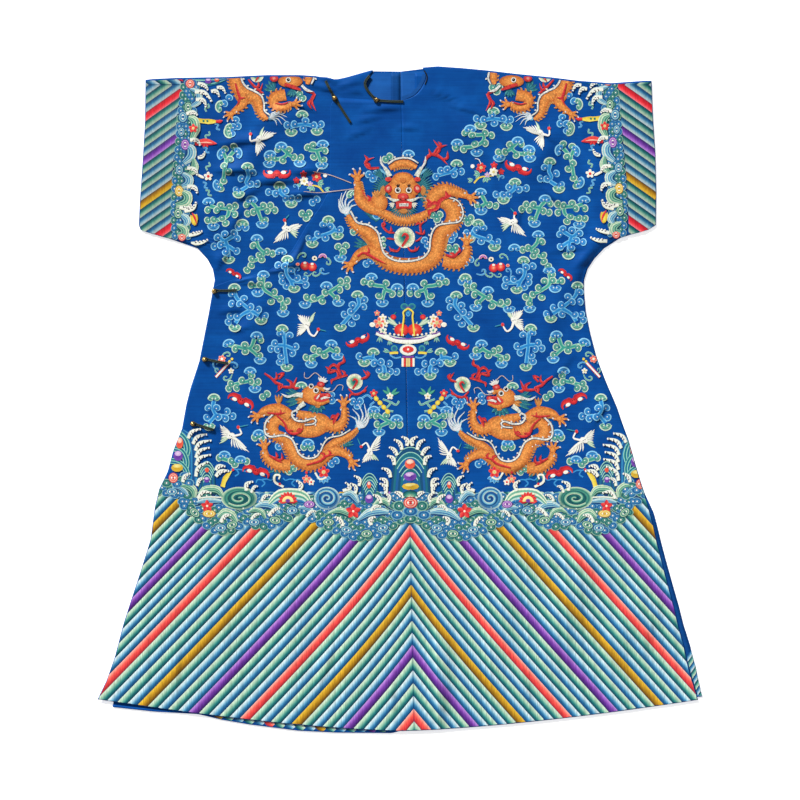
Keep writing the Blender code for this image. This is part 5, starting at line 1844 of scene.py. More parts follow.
def sleeve_waves(plain=False):
    """Water of the sleeve at the wearer's right, down from the shoulder. A plain one
    has no small lobes."""
    middle = SLEEVE_WATER[:, ::-1]
    parts = [band(middle, (34,), DEEP_WATER[[0, 0]], 0.6, dome=0.0, count=40, across=6)]
    for k, y in enumerate(() if plain else np.arange(664.0, 338.0, -8.2)):
        for j, across in enumerate((-10.0, 4.0, 17.0) if k % 2 else (-3.0, 11.0)):
            tone = BLUE_WATER if (3 * k + 2 * j + k // 4) % 5 < 3 else GREEN_WATER
            parts.append(lobe(read(SLEEVE_WATER, y) + across, y, 8.6, 7.0, tone, 1.4 + 0.05 * j,
                              90.0 + 20.0 * math.sin(k)))
    for x, y, rx, ry, family in SLEEVE_BEADS:
        parts.append(bead(x, y, rx, ry, family, 2.0, 90))
    # the mountain that stands on the shoulder fold, with only its lower half in front
    parts += [
        band(((-440, 676), (-410, 675), (-384, 675), (-364, 675)), (44, 38, 26, 8), SHOULDER_BANDS, 0.7,
             count=10, sharp=True),
        heart(-402, 669, 14, 12, HEART_PURPLE, HEART_LILAC),
        heart(-384, 671, 10, 8, HEART_RED, HEART_TOP),
    ]
    for line, width, colours in SLEEVE_CRESTS:
        parts.append(crest(line, width, colours, 1.6))
    parts += claws(SLEEVE_CLAWS)
    parts += [
        flower(-433, 569, 9, 5, RED_FLAME, STRAW, 2.6),
        fan(-430, 366, 24, (112, 96, 80), 9, PALE_OCHRE[[2, 1, 0]], 1.8),
        oval(-431, 378, 7, 12, STRAW_YELLOW, lift=2.0),
        blade(((-436, 392), (-430, 382), (-426, 368)), 5, RED_FLAME, 2.2),
        blade(((-425, 586), (-402, 584), (-378, 584)), 11, STRAW_YELLOW, 1.3, 0.9),
        blade(((-386, 584), (-378, 584), (-372, 586)), 7, RED_FLAME, 1.6, 0.8),
        dots(((-412, 585), (-404, 585)), 2.4, LEAF[[0]], 1.9),
        blade(((-430, 538), (-408, 541), (-384, 537)), 15, RED_FLAME, 1.3, 0.6),
        fan(-408, 539, 10, (60, 120, 240, 300), 6, RED_FLAME, 1.2),
        blade(((-422, 539), (-406, 540), (-392, 538)), 3, PINK[[2]], 1.7),
        blade(((-426, 473), (-416, 468), (-410, 465)), 6, IVORY, 1.3, 0.8),
        flower(-402, 469, 9, 5, IVORY, RED_FLAME, 1.4), move(CLOUD_HEADS[BLUE][0], -368, 622, -60),
        move(CLOUD_HEADS[BLUE][0], -358, 634, -20),
        move(CLOUD_HEADS[GREEN][1], -380, 616, 80, lift=0.2),
        move(CLOUD_HEADS[BLUE][0], -344, 588, -20), move(CLOUD_HEADS[BLUE][0], -339, 574, -100),
        move(CLOUD_HEADS[GREEN][1], -362, 560, 110, lift=0.2),
    ]
    for x, y, turn, dye in SLEEVE_RIBBONS:
        parts.append(move(band(((-9, 0), (-3, 5), (2, -2), (8, 3)), 3.4, STEM_FLOSS[dye], 0.3), x, y, turn))
    return join(*parts)


right_sleeve = sleeve_waves()
embroider("sleeve_waves_right", kept_inside(right_sleeve))
embroider("sleeve_waves_left", kept_inside(move(right_sleeve, -4.0, 5.0, flip=True)))

# %% [markdown]
# ## Dragons
# A dragon is couched in gold and orange floss in rows of small scales, with a white
# spine, thorns along it, a fringe of hair on the belly, scarlet flames at the joints
# and claws of four fingers and a thumb with white nails. One faces forward on the chest
# and a pair in profile is on the skirt, while two more lie over the shoulders. Each is
# drawn from a centre line and widths.

# %% parts of a dragon
def beside(line, widths, side, pitch):
    """Points a pitch apart on the edge of a line of those widths, with the directions
    outward and ahead. The two end points are left out."""
    count = max(3, int(run_along(curve(line, 60))[-1] / pitch))
    path = curve(line, count)
    ahead, normal = headings(path)
    normal = normal * side
    half = np.interp(np.linspace(0, 1, count), np.linspace(0, 1, len(widths)), widths) / 2
    edge = path + normal * half[:, None]
    return zip(edge[1:-1], normal[1:-1], ahead[1:-1])


HIDE = steps("#c4672e", "#e88a3e", "#f9a250", "#ee9446", "#c4672e")
HAIR = steps("#a8602c", "#dc8c44", "#f2b066")
HIDE_DOME = HIDE[[2, 2, 1, 0]]
MANE = steps("#17507a", "#247a8c", "#4fa39a")
SPINE_SHADOW = steps("#2a4a63", "#2a4a63")
NAIL = steps("#f3e9e4", "#ffffff", "#e9d8d6")
FIN_BLUE = steps("#3f9fd0", "#8fd0e4", "#5fb4da")
FIN_WHITE = steps("#cfe6f0", "#ffffff", "#dcecf2")
WHISKER = steps("#d8b8a8", "#efd9cb")
HAIR_PITCH = 5.5


def hide(line, widths, side, lift=0.7):
    """A length of body: scales, and a fringe of hair tufts on one side."""
    parts = [band(line, widths, HIDE, lift, dome=0.35, count=4 * len(line), across=7)]
    for root, out, forward in beside(line, widths, side, HAIR_PITCH):
        tip = root + out * 5.0 - forward * 3.0
        parts.append(blade((root - out * 3.0, root + out * 1.5, tip), 4.6, HAIR, lift - 0.1))
    return join(*parts)


def spine(line, lift=1.5, thorns=15.0):
    """The white spine with a dark line under it and small thorns."""
    parts = [band(line, (5.6,), SPINE_SHADOW, lift - 0.2, dome=0.0, count=4 * len(line), across=2),
             band(line, (3.6, 3.6, 2.4), WHITE, lift, count=4 * len(line))]
    for root, out, forward in beside(line, (3.0, 3.0), 1, thorns):
        parts.append(blade((root, root + out * 2.6, root + out * 5.0 + forward * 2.0), 3.6, WHITE, lift))
    return join(*parts)


def claw(x, y, turn, size=1.0, lift=1.3):
    """A palm, four fingers that point along the turn, a thumb behind, and white nails."""
    parts = [oval(0, 0, 8, 7, HIDE_DOME, lift=lift + 0.1)]
    for angle, reach in ((-62, 15), (-22, 18), (18, 18), (58, 15), (150, 13)):
        a = math.radians(angle)
        tip = (reach * math.cos(a), reach * math.sin(a))
        bent = (tip[0] + 4.5 * math.cos(a + 0.9), tip[1] + 4.5 * math.sin(a + 0.9))
        nail = (tip, ((tip[0] + bent[0]) / 2 + 1, (tip[1] + bent[1]) / 2), bent)
        parts.append(band(((0, 0), (0.6 * tip[0], 0.6 * tip[1]), tip), (6.5, 5, 4.5), HIDE[[1, 2, 1]],
                          lift, count=6))
        parts.append(blade(nail, 3.8, NAIL, lift + 0.4, root=0.9))
    return move(join(*parts), x, y, turn, size)


def flames(line, width, tongues, lift=1.2):
    """A scarlet flame: a wavy stem and tongues that leave it at places and angles."""
    parts = [blade(line, width, RED_FLAME, lift, root=0.6)]
    path = curve(line, 21)
    for place, angle, reach in tongues:
        x, y = path[int(place * 20)]
        a = math.radians(angle)
        parts.append(blade(tongue(x, y, reach, 0.5, a, a + 0.7), 0.9 * width, RED_FLAME, lift + 0.1,
                           root=0.8))
    return join(*parts)


def pearl(x, y, r):
    """The flaming pearl: pale rim shading to deep green, with a scarlet comma."""
    rings = steps("#14505c", "#1f7a78", "#3f9a86", "#86bd98", "#d6e4ba", "#eef0d2", "#f2f1dc")
    comma = ((x - 0.25 * r, y + 0.1 * r), (x, y + 0.35 * r), (x + 0.3 * r, y + 0.1 * r),
             (x + 0.1 * r, y - 0.35 * r), (x - 0.25 * r, y - 0.85 * r))
    return join(oval(x, y, r, r, rings, lift=0.7, around=24),
                band(comma, (0.1 * r, 0.3 * r, 0.3 * r, 0.2 * r), RED_FLAME, 1.2, count=14))


def eye(x, y, r, lift):
    """A round white eye: a black pupil with a glint at its upper right."""
    return join(oval(x, y, r, r, WHITE, lift=lift), oval(x, y, 0.62 * r, 0.62 * r, BLACK, lift=lift + 0.2),
                oval(x + 0.2 * r, y + 0.2 * r, 0.16 * r, 0.16 * r, WHITE, lift=lift + 0.45, around=5))


FIN_ANGLES, FIN_REACH = (86, 68, 51, 36, 22, 6, -12), (29, 40, 49, 51, 45, 36, 25)


def tail_fins(x, y, turn, side=1, size=1.0):
    """White fins out of a light blue root, fanned to one side of the tail. Each bows
    out: its middle is half its tip plus 0.22 of the tip turned by a right angle."""
    parts = [oval(3, 0, 9, 7, FIN_BLUE, lift=0.6), fan(2, 2, 20, (-10, 15, 40, 65), 5, FIN_BLUE, 0.7)]
    for angle, reach in zip(FIN_ANGLES, FIN_REACH):
        fx, fy = reach * math.cos(math.radians(angle)), reach * math.sin(math.radians(angle))
        bowed = (0.5 * fx + 0.22 * fy, 0.5 * fy - 0.22 * fx)
        parts.append(band(((0, 0), bowed, (fx, fy)), (3.4, 3.6, 2.8, 1), FIN_WHITE, 0.8, count=9))
    fins = join(*parts)
    return move((fins[0] * (1, side, 1), *fins[1:]), x, y, turn, size)


def hairline(line, width=1.6, lift=1.4, colours=WHISKER):
    """A whisker, twig or thread: a thin line that narrows to its end."""
    return band(line, (width, width, 0.6 * width), colours, lift, count=6 * len(line), across=2)


# %% the dragon that faces forward
front_dragon = join(
    # tail, loop and belly, from the tail to the right shoulder
    tail_fins(-118, 2, 128, -1),
    hide(((-118, 0), (-104, -22), (-76, -38), (-60, -56), (-54, -80), (-34, -99), (4, -107), (42, -102),
          (66, -84), (72, -58), (80, -36), (99, -20), (106, 3), (93, 24), (66, 30)),
         (8, 16, 25, 27, 27, 30, 32, 32, 31, 29, 28, 32, 36, 34, 24), -1),
    spine(((-112, 8), (-98, -16), (-74, -22), (-56, -36), (-49, -58), (-42, -80), (-24, -94), (4, -98),
           (36, -92), (52, -76), (55, -54), (60, -34), (72, -22), (94, -18), (116, -14), (124, 4),
           (114, 28), (90, 38))),
    # chest below the chin and the two arms
    hide(((-56, 10), (-36, 0), (-14, -8), (6, -10), (30, -6), (54, 6)), (12, 18, 20, 20, 18, 14), -1,
         1.0),
    hide(((-46, 8), (-72, 16), (-92, 30), (-96, 52), (-98, 72)), (24, 26, 22, 17, 12), -1, 1.3),
    oval(-52, 26, 18, 20, HIDE_DOME, turn=20, lift=1.4, dome=0.7),
    fan(-56, 36, 16, (60, 85, 110, 135), 7, HAIR, 1.8), claw(-98, 76, 92, 1.05, 1.6),
    hide(((54, 10), (62, 38), (84, 52), (110, 46), (134, 38)), (22, 28, 26, 18, 11), 1, 1.3),
    claw(138, 36, -18, 1.0, 1.6),
    flames(((-88, 52), (-78, 30), (-62, 24), (-50, 36)), 8, ((0.4, 60, 14), (0.7, 120, 14))),
    flames(((98, 40), (76, 30), (68, 12), (48, 8)), 9, ((0.2, 40, 16), (0.5, 150, 18), (0.8, 200, 16)),
           1.9),
    flames(((48, 32), (58, 22), (44, 12)), 7, ((0.5, 160, 12),), 1.9),
    # hind legs
    hide(((-38, -92), (-68, -76), (-94, -82), (-110, -100)), (28, 26, 18, 10), 1, 0.9),
    claw(-112, -104, 226, 1.0, 1.3),
    flames(((-98, -88), (-84, -80), (-60, -92), (-36, -104)), 6, ((0.4, 30, 14),), 1.8),
    hide(((82, -96), (112, -100), (129, -84), (131, -62)), (26, 28, 20, 12), -1, 0.9),
    claw(131, -58, 86, 1.0, 1.3),
    flames(((88, -84), (104, -88), (118, -72)), 7, ((0.5, 100, 12), (0.8, 40, 12)), 1.8),
    fan(-72, -66, 34, (150, 165, 180), 7, MANE), fan(-84, 8, 34, (320, 335, 350), 7, MANE, 0.4),
    fan(-42, 8, 30, (200, 215, 232), 7, MANE, 0.4),
    # the mane behind the head, then the head
    fan(-28, 52, 40, range(112, 240, 9), 4.2, MANE, 1.0),
    fan(24, 52, 40, range(68, -60, -9), 4.2, MANE, 1.0),
    fan(-2, 22, 34, range(200, 342, 9), 4.0, MANE, 1.2),
    fan(-2, 20, 24, range(205, 338, 14), 3.4, HAIR, 1.25),
    oval(-2, 54, 37, 20, HIDE[[2, 3, 2, 1, 0]], lift=1.7, dome=0.8, around=20),
    oval(-2, 76, 22, 13, HIDE_DOME, lift=1.8, dome=0.8, around=16),
    oval(-16, 70, 13, 10, HIDE_DOME, lift=1.9, around=12),
    oval(12, 70, 13, 10, HIDE_DOME, lift=1.9, around=12),
    oval(-2, 38, 26, 16, HIDE_DOME, lift=1.8, dome=0.8, around=16),
    fan(-38, 50, 13, range(118, 250, 15), 4.4, HAIR, 1.7),
    fan(34, 50, 13, range(62, -70, -15), 4.4, HAIR, 1.7),
    *[join(oval(x, 74, 7, 5, PALE_RED[[2, 1, 1]], lift=2.7, around=8),
           oval(x, 54, 8, 8.5, PALE_RED[[1, 1, 2]], lift=2.7),
           oval(x, 55, 3.4, 4.6, PALE_RED[[3, 3, 0]], turn=40 * s, lift=3.0, around=8))
      for x, s in ((-33, -1), (28, 1))],
    *[join(eye(x, 51, 6.2, 3.0), oval(x, 51, 8.2, 7.6, HIDE[[2, 1, 0]], lift=2.6),
           fan(x, 56, 10, (60, 80, 100, 120), 1.4, BLACK, 3.2)) for x in (-13, 10)],
    fan(-2, 66, 12, (60, 90, 120), 6, HIDE[[0, 1, 0]], 2.8),
    *[blade(((-2 + 8 * s, 31), (-2 + 20 * s, 30), (-2 + 34 * s, 37)), 6.4, CREST_WHITE, 3.0, 0.4)
      for s in (-1, 1)],
    oval(-2, 37, 12, 8, PALE_RED[[0, 1, 1, 2]], lift=3.2, dome=0.7),
    dots(((-7, 32), (3, 32)), 1.4, BLACK, 3.9),
    band(((-17, 20), (0, 21), (16, 20)), (15, 17, 15), PALE_RED[[2, 1, 1, 2]], 2.9, count=7, across=4),
    band(((-10, 20), (0, 20.5), (9, 20)), 6.0, WHITE, 3.3, count=5),
    hairline(((-9, 20), (8, 20)), 0.9, 3.7, BLACK), dots(((-5, 22), (0, 22), (5, 22)), 0.7, BLACK, 3.7),
    *[fan(-2 + 18 * s, 24, 13, range(int(90 - 95 * s), int(90 - 175 * s), -20 * s), 3, IVORY, 2.4)
      for s in (-1, 1)],
    fan(-1, 13, 12, range(215, 330, 12), 3.6, HAIR, 2.4),
    *[join(band(((-2 + 28 * s, 80), (-2 + 33 * s, 90), (-2 + 39 * s, 99)), (11, 9, 6), CREST_WHITE,
                2.2),
           blade(((-2 + 38 * s, 97), (-2 + 46 * s, 109), (-2 + 47 * s, 123)), 4.6, WHITE, 2.4, 0.9),
           blade(((-2 + 36 * s, 84), (-2 + 44 * s, 92), (-2 + 50 * s, 96)), 5, FIN_BLUE, 1.6, 0.9),
           fan(-2 + 42 * s, 76, 26, [90 - t * s for t in (14, 26, 38, 50, 62)], 3.6, MANE, 1.1))
      for s in (-1, 1)],
    # the arch of its back above the head
    hide(((-30, 97), (-16, 105), (-2, 108), (12, 106), (26, 99)), (10, 15, 16, 15, 10), -1, 1.0),
    spine(((-34, 106), (-18, 116), (-2, 119), (14, 117), (30, 108)), 1.8, 12.0),
    hairline(((-28, 34), (-44, 36), (-52, 24))), hairline(((26, 34), (42, 36), (48, 24))),
    hairline(((-110, 66), (-130, 74), (-158, 84), (-190, 90))),
    hairline(((-106, 54), (-140, 50), (-180, 46), (-210, 48))),
    # the pearl in its flames
    pearl(1, -48, 22),
    flames(((-20, -38), (-34, -36), (-46, -22), (-40, -14)), 5, ((0.3, 30, 14), (0.6, 40, 12))),
    flames(((24, -36), (36, -40), (34, -22), (48, -12)), 5, ((0.3, 10, 12), (0.7, 150, 12))),
    flames(((-20, -52), (-30, -50), (-38, -50)), 4, ()),
    flames(((24, -56), (32, -52), (38, -46)), 4, ()),
    flames(((-8, -68), (-14, -76), (-26, -74), (-32, -66)), 5, ((0.5, 150, 10),)),
    flames(((8, -68), (14, -76), (26, -74), (32, -66)), 5, ((0.5, 30, 10),)),
    flames(((-52, 98), (-74, 98), (-80, 112), (-62, 120)), 7, ((0.3, 100, 16), (0.6, 60, 16))),
    flames(((42, 108), (54, 126), (74, 122), (92, 104)), 7,
           ((0.2, 40, 18), (0.55, 60, 32), (0.8, 20, 20))),
    flames(((60, 124), (72, 140), (90, 146)), 6, ((0.6, 70, 12),)),
)
embroider("dragon_facing", move(front_dragon, 8.4, 388.5), material=scale_floss)

# %% the pair in profile
profile_dragon = join(
    tail_fins(101, -17, 38),
    hide(((-26, 12), (5, 4), (28, -7), (12, -21), (-18, -22), (-44, -9), (-64, 0), (-78, -14),
          (-72, -32), (-50, -42), (-39, -61), (-25, -84), (-2, -94), (24, -86), (37, -66), (52, -50),
          (72, -40), (88, -31), (101, -18)),
         (14, 22, 34, 33, 30, 22, 22, 27, 24, 22, 26, 28, 28, 25, 21, 17, 13, 10, 5), -1),
    spine(((-76, 10), (-91, -6), (-93, -28), (-81, -37), (-54, -34), (-37, -42), (-28, -58), (-21, -73),
           (-6, -82), (12, -80), (23, -68), (31, -50), (43, -39), (66, -34), (86, -22))),
    spine(((-12, 34), (-25, 20), (-36, 14), (-35, 5), (-27, -3), (-10, -4), (6, 1), (14, -3), (8, -10),
           (-10, -12))),
    hide(((-40, 6), (-64, 21), (-92, 19), (-106, 8)), (24, 24, 16, 9), 1, 1.2),
    claw(-108, 7, 205, 0.95, 1.5),
    hide(((36, -10), (60, -15), (72, 2), (72, 28)), (24, 22, 15, 10), -1, 1.2),
    claw(72, 32, 88, 0.95, 1.5),
    hide(((-40, -96), (-68, -94), (-89, -80), (-94, -62)), (24, 24, 17, 10), 1, 1.0),
    claw(-94, -58, 100, 0.95, 1.4),
    hide(((32, -76), (54, -66), (76, -74), (87, -86)), (26, 22, 15, 10), 1, 1.0),
    claw(88, -89, -50, 0.95, 1.4), flames(((-88, 13), (-66, 11), (-48, 14)), 5, ((0.5, 20, 12),), 2.0),
    flames(((-68, 8), (-52, -8), (-46, -24), (-32, -31), (-16, -24), (-14, -12)), 6,
           ((0.3, 300, 18), (0.8, 150, 12)), 2.2),
    flames(((62, 12), (54, 2), (50, -12)), 8, ((0.4, 160, 12),), 2.0),
    flames(((-84, -76), (-70, -84), (-56, -92)), 6, ((0.4, 40, 14), (0.7, 30, 18)), 2.0),
    flames(((-6, -96), (22, -88), (34, -78), (52, -74)), 6, ((0.6, 100, 14), (0.8, 60, 12)), 2.0),
    fan(66, -58, 28, (10, 24, 40), 6, MANE, 0.4), fan(58, -26, 24, (-70, -50), 6, MANE, 0.4),
    fan(-66, -104, 26, (200, 240, 280, 330), 6, MANE, 0.4),
    fan(-64, 30, 22, (70, 90, 110), 6, HAIR, 1.0),
    fan(-12, 46, 40, (150, 165, 180, 195, 210), 9, MANE, 0.8),
    fan(14, 34, 24, (225, 250, 275, 300, 325), 9, MANE, 0.8),
    # head
    fan(-10, 44, 20, (190, 215, 240), 7, HAIR, 1.4),
    oval(4, 51, 21, 19, HIDE_DOME, lift=1.6, dome=0.8, around=16),
    band(((0, 40), (20, 33), (42, 39)), (16, 11, 7), HIDE, 1.7, dome=0.6, across=5),
    band(((12, 62), (22, 66), (32, 60)), (14, 12, 8), HIDE, 1.8, dome=0.6, across=5),
    fan(18, 32, 9, (235, 255, 275, 295), 5, HAIR, 1.6),
    oval(26, 45, 17, 9, PALE_RED[[2, 2, 1, 1]], turn=6, lift=2.5, around=14),
    oval(38, 50, 7, 5, PALE_RED[[0, 1, 2]], lift=2.8),
    blade(((24, 42), (32, 45), (44, 45)), 5, WHITE, 3.0, 0.8),
    blade(((15, 42), (19, 47), (22, 52)), 3.6, WHITE, 3.0, 0.8),
    oval(24, 73, 8, 6, PALE_RED[[0, 1, 2]], lift=2.6),
    fan(26, 76, 14, (20, 45, 70, 95, 120), 4.4, WHITE, 2.4),
    blade(((30, 66), (38, 62), (44, 66)), 5, WHITE, 2.6, 0.8), eye(4, 69, 5.4, 2.8),
    eye(14, 60, 5.8, 2.9), band(((-14, 50), (-24, 51), (-34, 49)), (11, 9, 6), CREST_WHITE, 2.0),
    blade(((-32, 50), (-46, 47), (-60, 54)), 5, WHITE, 2.2, 0.9),
    band(((-10, 34), (-18, 28), (-26, 20)), (10, 9, 6), CREST_WHITE, 2.0),
    hairline(((24, 88), (12, 97), (-2, 86), (-10, 88), (-10, 98))),
    hairline(((32, 58), (48, 58), (60, 71), (70, 70), (69, 60))),
    # pearl and flames
    pearl(95, 78, 17),
    flames(((82, 64), (94, 52), (110, 56), (122, 70)), 5, ((0.3, 190, 14), (0.7, 20, 12))),
    flames(((108, 84), (122, 90), (112, 104)), 6, ((0.5, 60, 12),)),
    flames(((80, 92), (62, 88), (46, 80)), 6, ((0.2, 80, 14), (0.55, 100, 26), (0.8, 200, 12))),
    flames(((66, 92), (60, 112), (76, 122)), 7, ((0.4, 150, 22), (0.7, 30, 18))),
    flames(((44, 110), (40, 98), (56, 100)), 6, ((0.5, 80, 14),)),
    flames(((-94, 96), (-80, 86), (-70, 76), (-56, 70), (-70, 56)), 6,
           ((0.35, 30, 18), (0.7, 200, 14))),
    flames(((-58, 68), (-36, 68), (-26, 88)), 7, ((0.4, 80, 20), (0.6, -60, 14))),
    flames(((-64, 84), (-54, 96), (-70, 92)), 6, ()),
)
embroider("dragon_right_skirt", move(profile_dragon, -190, -40), material=scale_floss)
embroider("dragon_left_skirt", move(profile_dragon, 226, -46, flip=True), material=scale_floss)

# %% the pair over the shoulders
shoulder_dragon = join(
    hide(((-348, 690), (-345, 668), (-338, 652), (-318, 640), (-302, 632), (-295, 616), (-291, 600),
          (-277, 588)),
         (26, 26, 27, 26, 22, 18, 14, 7), -1),
    spine(((-333, 690), (-332, 672), (-322, 656), (-306, 648), (-291, 638), (-285, 622), (-284, 606),
           (-272, 596))),
    hide(((-334, 640), (-330, 622), (-352, 602)), (26, 20, 10), 1, 1.1),
    claw(-354, 600, 222, 0.85, 1.4),
    flames(((-345, 664), (-340, 646), (-336, 632), (-342, 616)), 6, ((0.5, 300, 14),), 2.0),
    tail_fins(-272, 590, 40, -1, 0.7),
    hide(((-240, 640), (-264, 634), (-262, 618), (-244, 613), (-228, 620)), (24, 22, 18, 16, 10), -1,
         1.1),
    claw(-222, 620, 6, 0.85, 1.4), blade(((-262, 622), (-246, 620), (-230, 626)), 4, RED_FLAME, 2.2),
    oval(-230, 668, 26, 13, HIDE_DOME, lift=1.5, around=16), eye(-234, 671, 5.5, 2.6),
    band(((-242, 662), (-224, 656), (-208, 650)), (6, 8, 4), PALE_RED[[2, 1, 2]], 2.5),
    oval(-264, 674, 9, 7, PALE_RED[[3, 1, 2]], lift=2.4),
    fan(-262, 650, 24, (100, 125, 150, 175), 8, MANE, 0.6),
    fan(-226, 652, 18, (230, 255, 280, 305), 7, MANE, 0.9),
    blade(((-206, 660), (-196, 650), (-182, 646)), 6, WHITE, 2.4, 0.9),
    hide(((-192, 688), (-192, 674), (-194, 662)), (15, 15, 8), -1, 1.0),
    spine(((-183, 690), (-181, 674), (-186, 662))), pearl(-300, 680, 14),
    flames(((-318, 672), (-306, 658), (-294, 650), (-288, 664)), 6, ((0.4, 20, 14), (0.7, 280, 10))),
    flames(((-196, 648), (-180, 642), (-186, 626), (-176, 606)), 7, ((0.6, 230, 20),)),
)
embroider("dragon_right_shoulder", kept_inside(shoulder_dragon), material=scale_floss)
embroider("dragon_left_shoulder", kept_inside(move(shoulder_dragon, 4.0, flip=True)), material=scale_floss)

# %% [markdown]
# ## Cranes, bats, flowers and the peach basket
# Cranes stand for long life, bats for luck, and peaches for both, so they are set
# among the clouds in pairs on either side of the seam.

# %% birds, bats and flowers
FEATHER = steps("#dfe0d0", "#f6f4ea", "#e6e6da")
FEATHER_GREEN = steps("#5fa88c", "#dfe6c8", "#3f8f80")


def feathers(tip, tail):
    """A spread wing: feather k of 6 runs from 0.08 + 0.4 k of the bone to 0.32 + 0.68 k
    of it, and the inner ones trail towards the tail."""
    tip, tail = np.array(tip, float), np.array(tail, float)
    along = tip / np.linalg.norm(tip)
    trailing = tail - along * (tail @ along)
    trailing /= np.linalg.norm(trailing)
    parts = [band(((0, 0), 0.4 * tip - 1.5 * trailing, 0.8 * tip), (6, 5, 2), FEATHER, 0.9, count=8)]
    for k in np.linspace(0, 1, 6):
        root, end = tip * (0.08 + 0.4 * k), tip * (0.32 + 0.68 * k) + trailing * (17.0 - 14.0 * k)
        parts.append(blade((root, (root + end) / 2 + 1.5 * trailing, end), 3.1, FEATHER, 0.5 + 0.05 * k,
                           0.7))
    return join(*parts)


def crane(tips, neck, beak, tail):
    """A crane: two spread wings, a curved neck, a scarlet crown and a tail tipped with
    green. Every place is measured from the middle of its body."""
    turn = math.degrees(math.atan2(-tail[1], -tail[0]))
    crown = neck[-1]
    fans = [blade(((0, 0), (0.6 * tail[0], 0.6 * tail[1] + s), (tail[0] + 0.6 * s, tail[1] + 1.6 * s)), 5,
                  FEATHER_GREEN, 0.5, 0.9)
            for s in (-3.5, 0, 3.5)]
    return join(*fans, *[feathers(tip, tail) for tip in tips],
                oval(0, 0, 9, 5.5, FEATHER, turn=turn, lift=1.1),
                band(((0, 0), *neck), (6, 4, 3.4, 3.2), WHITE, 1.3, count=12),
                oval(*crown, 3.4, 3.8, RED_FLAME, lift=1.7, around=8),
                blade((crown, beak), 2.2, TEAL, 1.4, 0.9), dots(((-2, 1), (2, -1)), 1.0, BLACK, 1.6))


# climbing, diving, turning back and gliding, as they fly on the right half
CRANES = (
    crane(((-32, -28), (30, 12)), ((-10, 1), (-4, 9), (-6, 18)), (4, 30), (22, -14)),
    crane(((-22, 20), (-19, -26)), ((5, -16), (14, -23), (20, -17), (24, -9)), (41, -13), (16, 22)),
    crane(((38, 11), (-7, -35)), ((-10, -3), (-16, -4), (-18, 2), (-17, 11)), (-18, 20), (9, 21)),
    crane(((-20, 25), (41, -32)), ((8, 0), (22, 4), (20, 12), (16, 18)), (38, 23), (-22, -11)),
)
SCARLET_WING = steps("#a81a28", "#d42a30", "#e5443e")
half_bat = join(
    band(((-2, 1), (-11, 7), (-20, 8), (-27, 2), (-27, -5)), (8, 11, 8, 5, 2), SCARLET_WING, 0.5,
         count=12),
    blade(((-8, 3), (-14, -1), (-22, -3)), 6, SCARLET_WING, 0.5, 0.9),
    oval(-14, 0, 5.6, 3.8, CREST_WHITE, lift=1.1),
    hairline(((-2, 6), (-6, 12), (-12, 12)), 1.6, 0.6, SCARLET_WING),
)
bat = join(half_bat, move(half_bat, flip=True), oval(0, 2, 8, 7, SCARLET_WING[[2, 1, 0]], lift=0.9),
           dots(((-2, 4), (2, 4)), 1.1, BLACK, 1.4))


def tendril(x, y, turn, tone, size=1.0):
    """A ribbon end that curls back on itself."""
    return move(band(((-12, -3), (-5, 4), (4, 5), (8, 0), (4, -4), (0, -1)), (2, 3.4, 3.4, 3, 2), tone, 0.5,
                     count=14), x, y, turn, size)


TEAL_RIBBON, BLUE_RIBBON = STEM_FLOSS
FRUIT = steps("#f2b48a", "#ee6a4c", "#df3038", "#c41f2e")
fruits = join(
    *[join(oval(x, y, 9.5, 9, FRUIT, lift=1.0, dome=0.8),
           oval(x, y + 6, 3.4, 2.6, IVORY, lift=1.9, around=8)) for x, y in ((-11, -2), (4, -4))],
    oval(9, 14, 5.6, 5, CREAM, lift=1.0), dots(((9, 14),), 2, BLACK, 1.5),
    oval(-26, 1, 4, 3.4, PINK, lift=0.8),
    arch(26, 15, 1.5, 9, 0, 180, steps("#1b1f33", "#d98aa0", "#8e4bab", "#f0c4cc"), lift=0.7),
    tendril(-17, 19, 20, TEAL_RIBBON), tendril(36, 8, -60, TEAL_RIBBON),
    tendril(13, -17, 200, TEAL_RIBBON), tendril(28, -13, 150, BLUE_RIBBON),
    tendril(-28, -12, 60, BLUE_RIBBON, 0.9), tendril(-6, -19, 180, TEAL_RIBBON, 0.8),
)
blossom = join(
    hairline(((-24, -21), (-11, -9), (15, -6)), 3.4, 0.5, STRAW_YELLOW),
    oval(-27, 14, 4.4, 4.4, WHITE, lift=0.9, around=8),
    flower(-9, 11, 10, 6, SCARLET[[0, 1, 2]], STRAW),
    hairline(((-9, 18), (-14, 28), (-22, 30)), 1.6, 0.9, WHITE), flower(17, 2, 9, 6, IVORY, STRAW),
    flower(18, 16, 7, 5, SCARLET_WING, SCARLET), flower(33, 3, 6.5, 5, SCARLET_WING, SCARLET),
    fan(-12, -2, 13, (150, 190, 230), 6, TEAL_RIBBON), fan(0, -8, 13, (250, 290, 330), 6, TEAL_RIBBON),
    fan(-26, -14, 12, (170, 210), 5, TEAL_RIBBON), tendril(34, -10, 30, BLUE_RIBBON, 0.7),
    fan(24, -3, 10, (300, 330), 5, TEAL_RIBBON), flower(4, -4, 5.5, 5, PALE_PURPLE[[1, 0, 0]], STRAW),
)
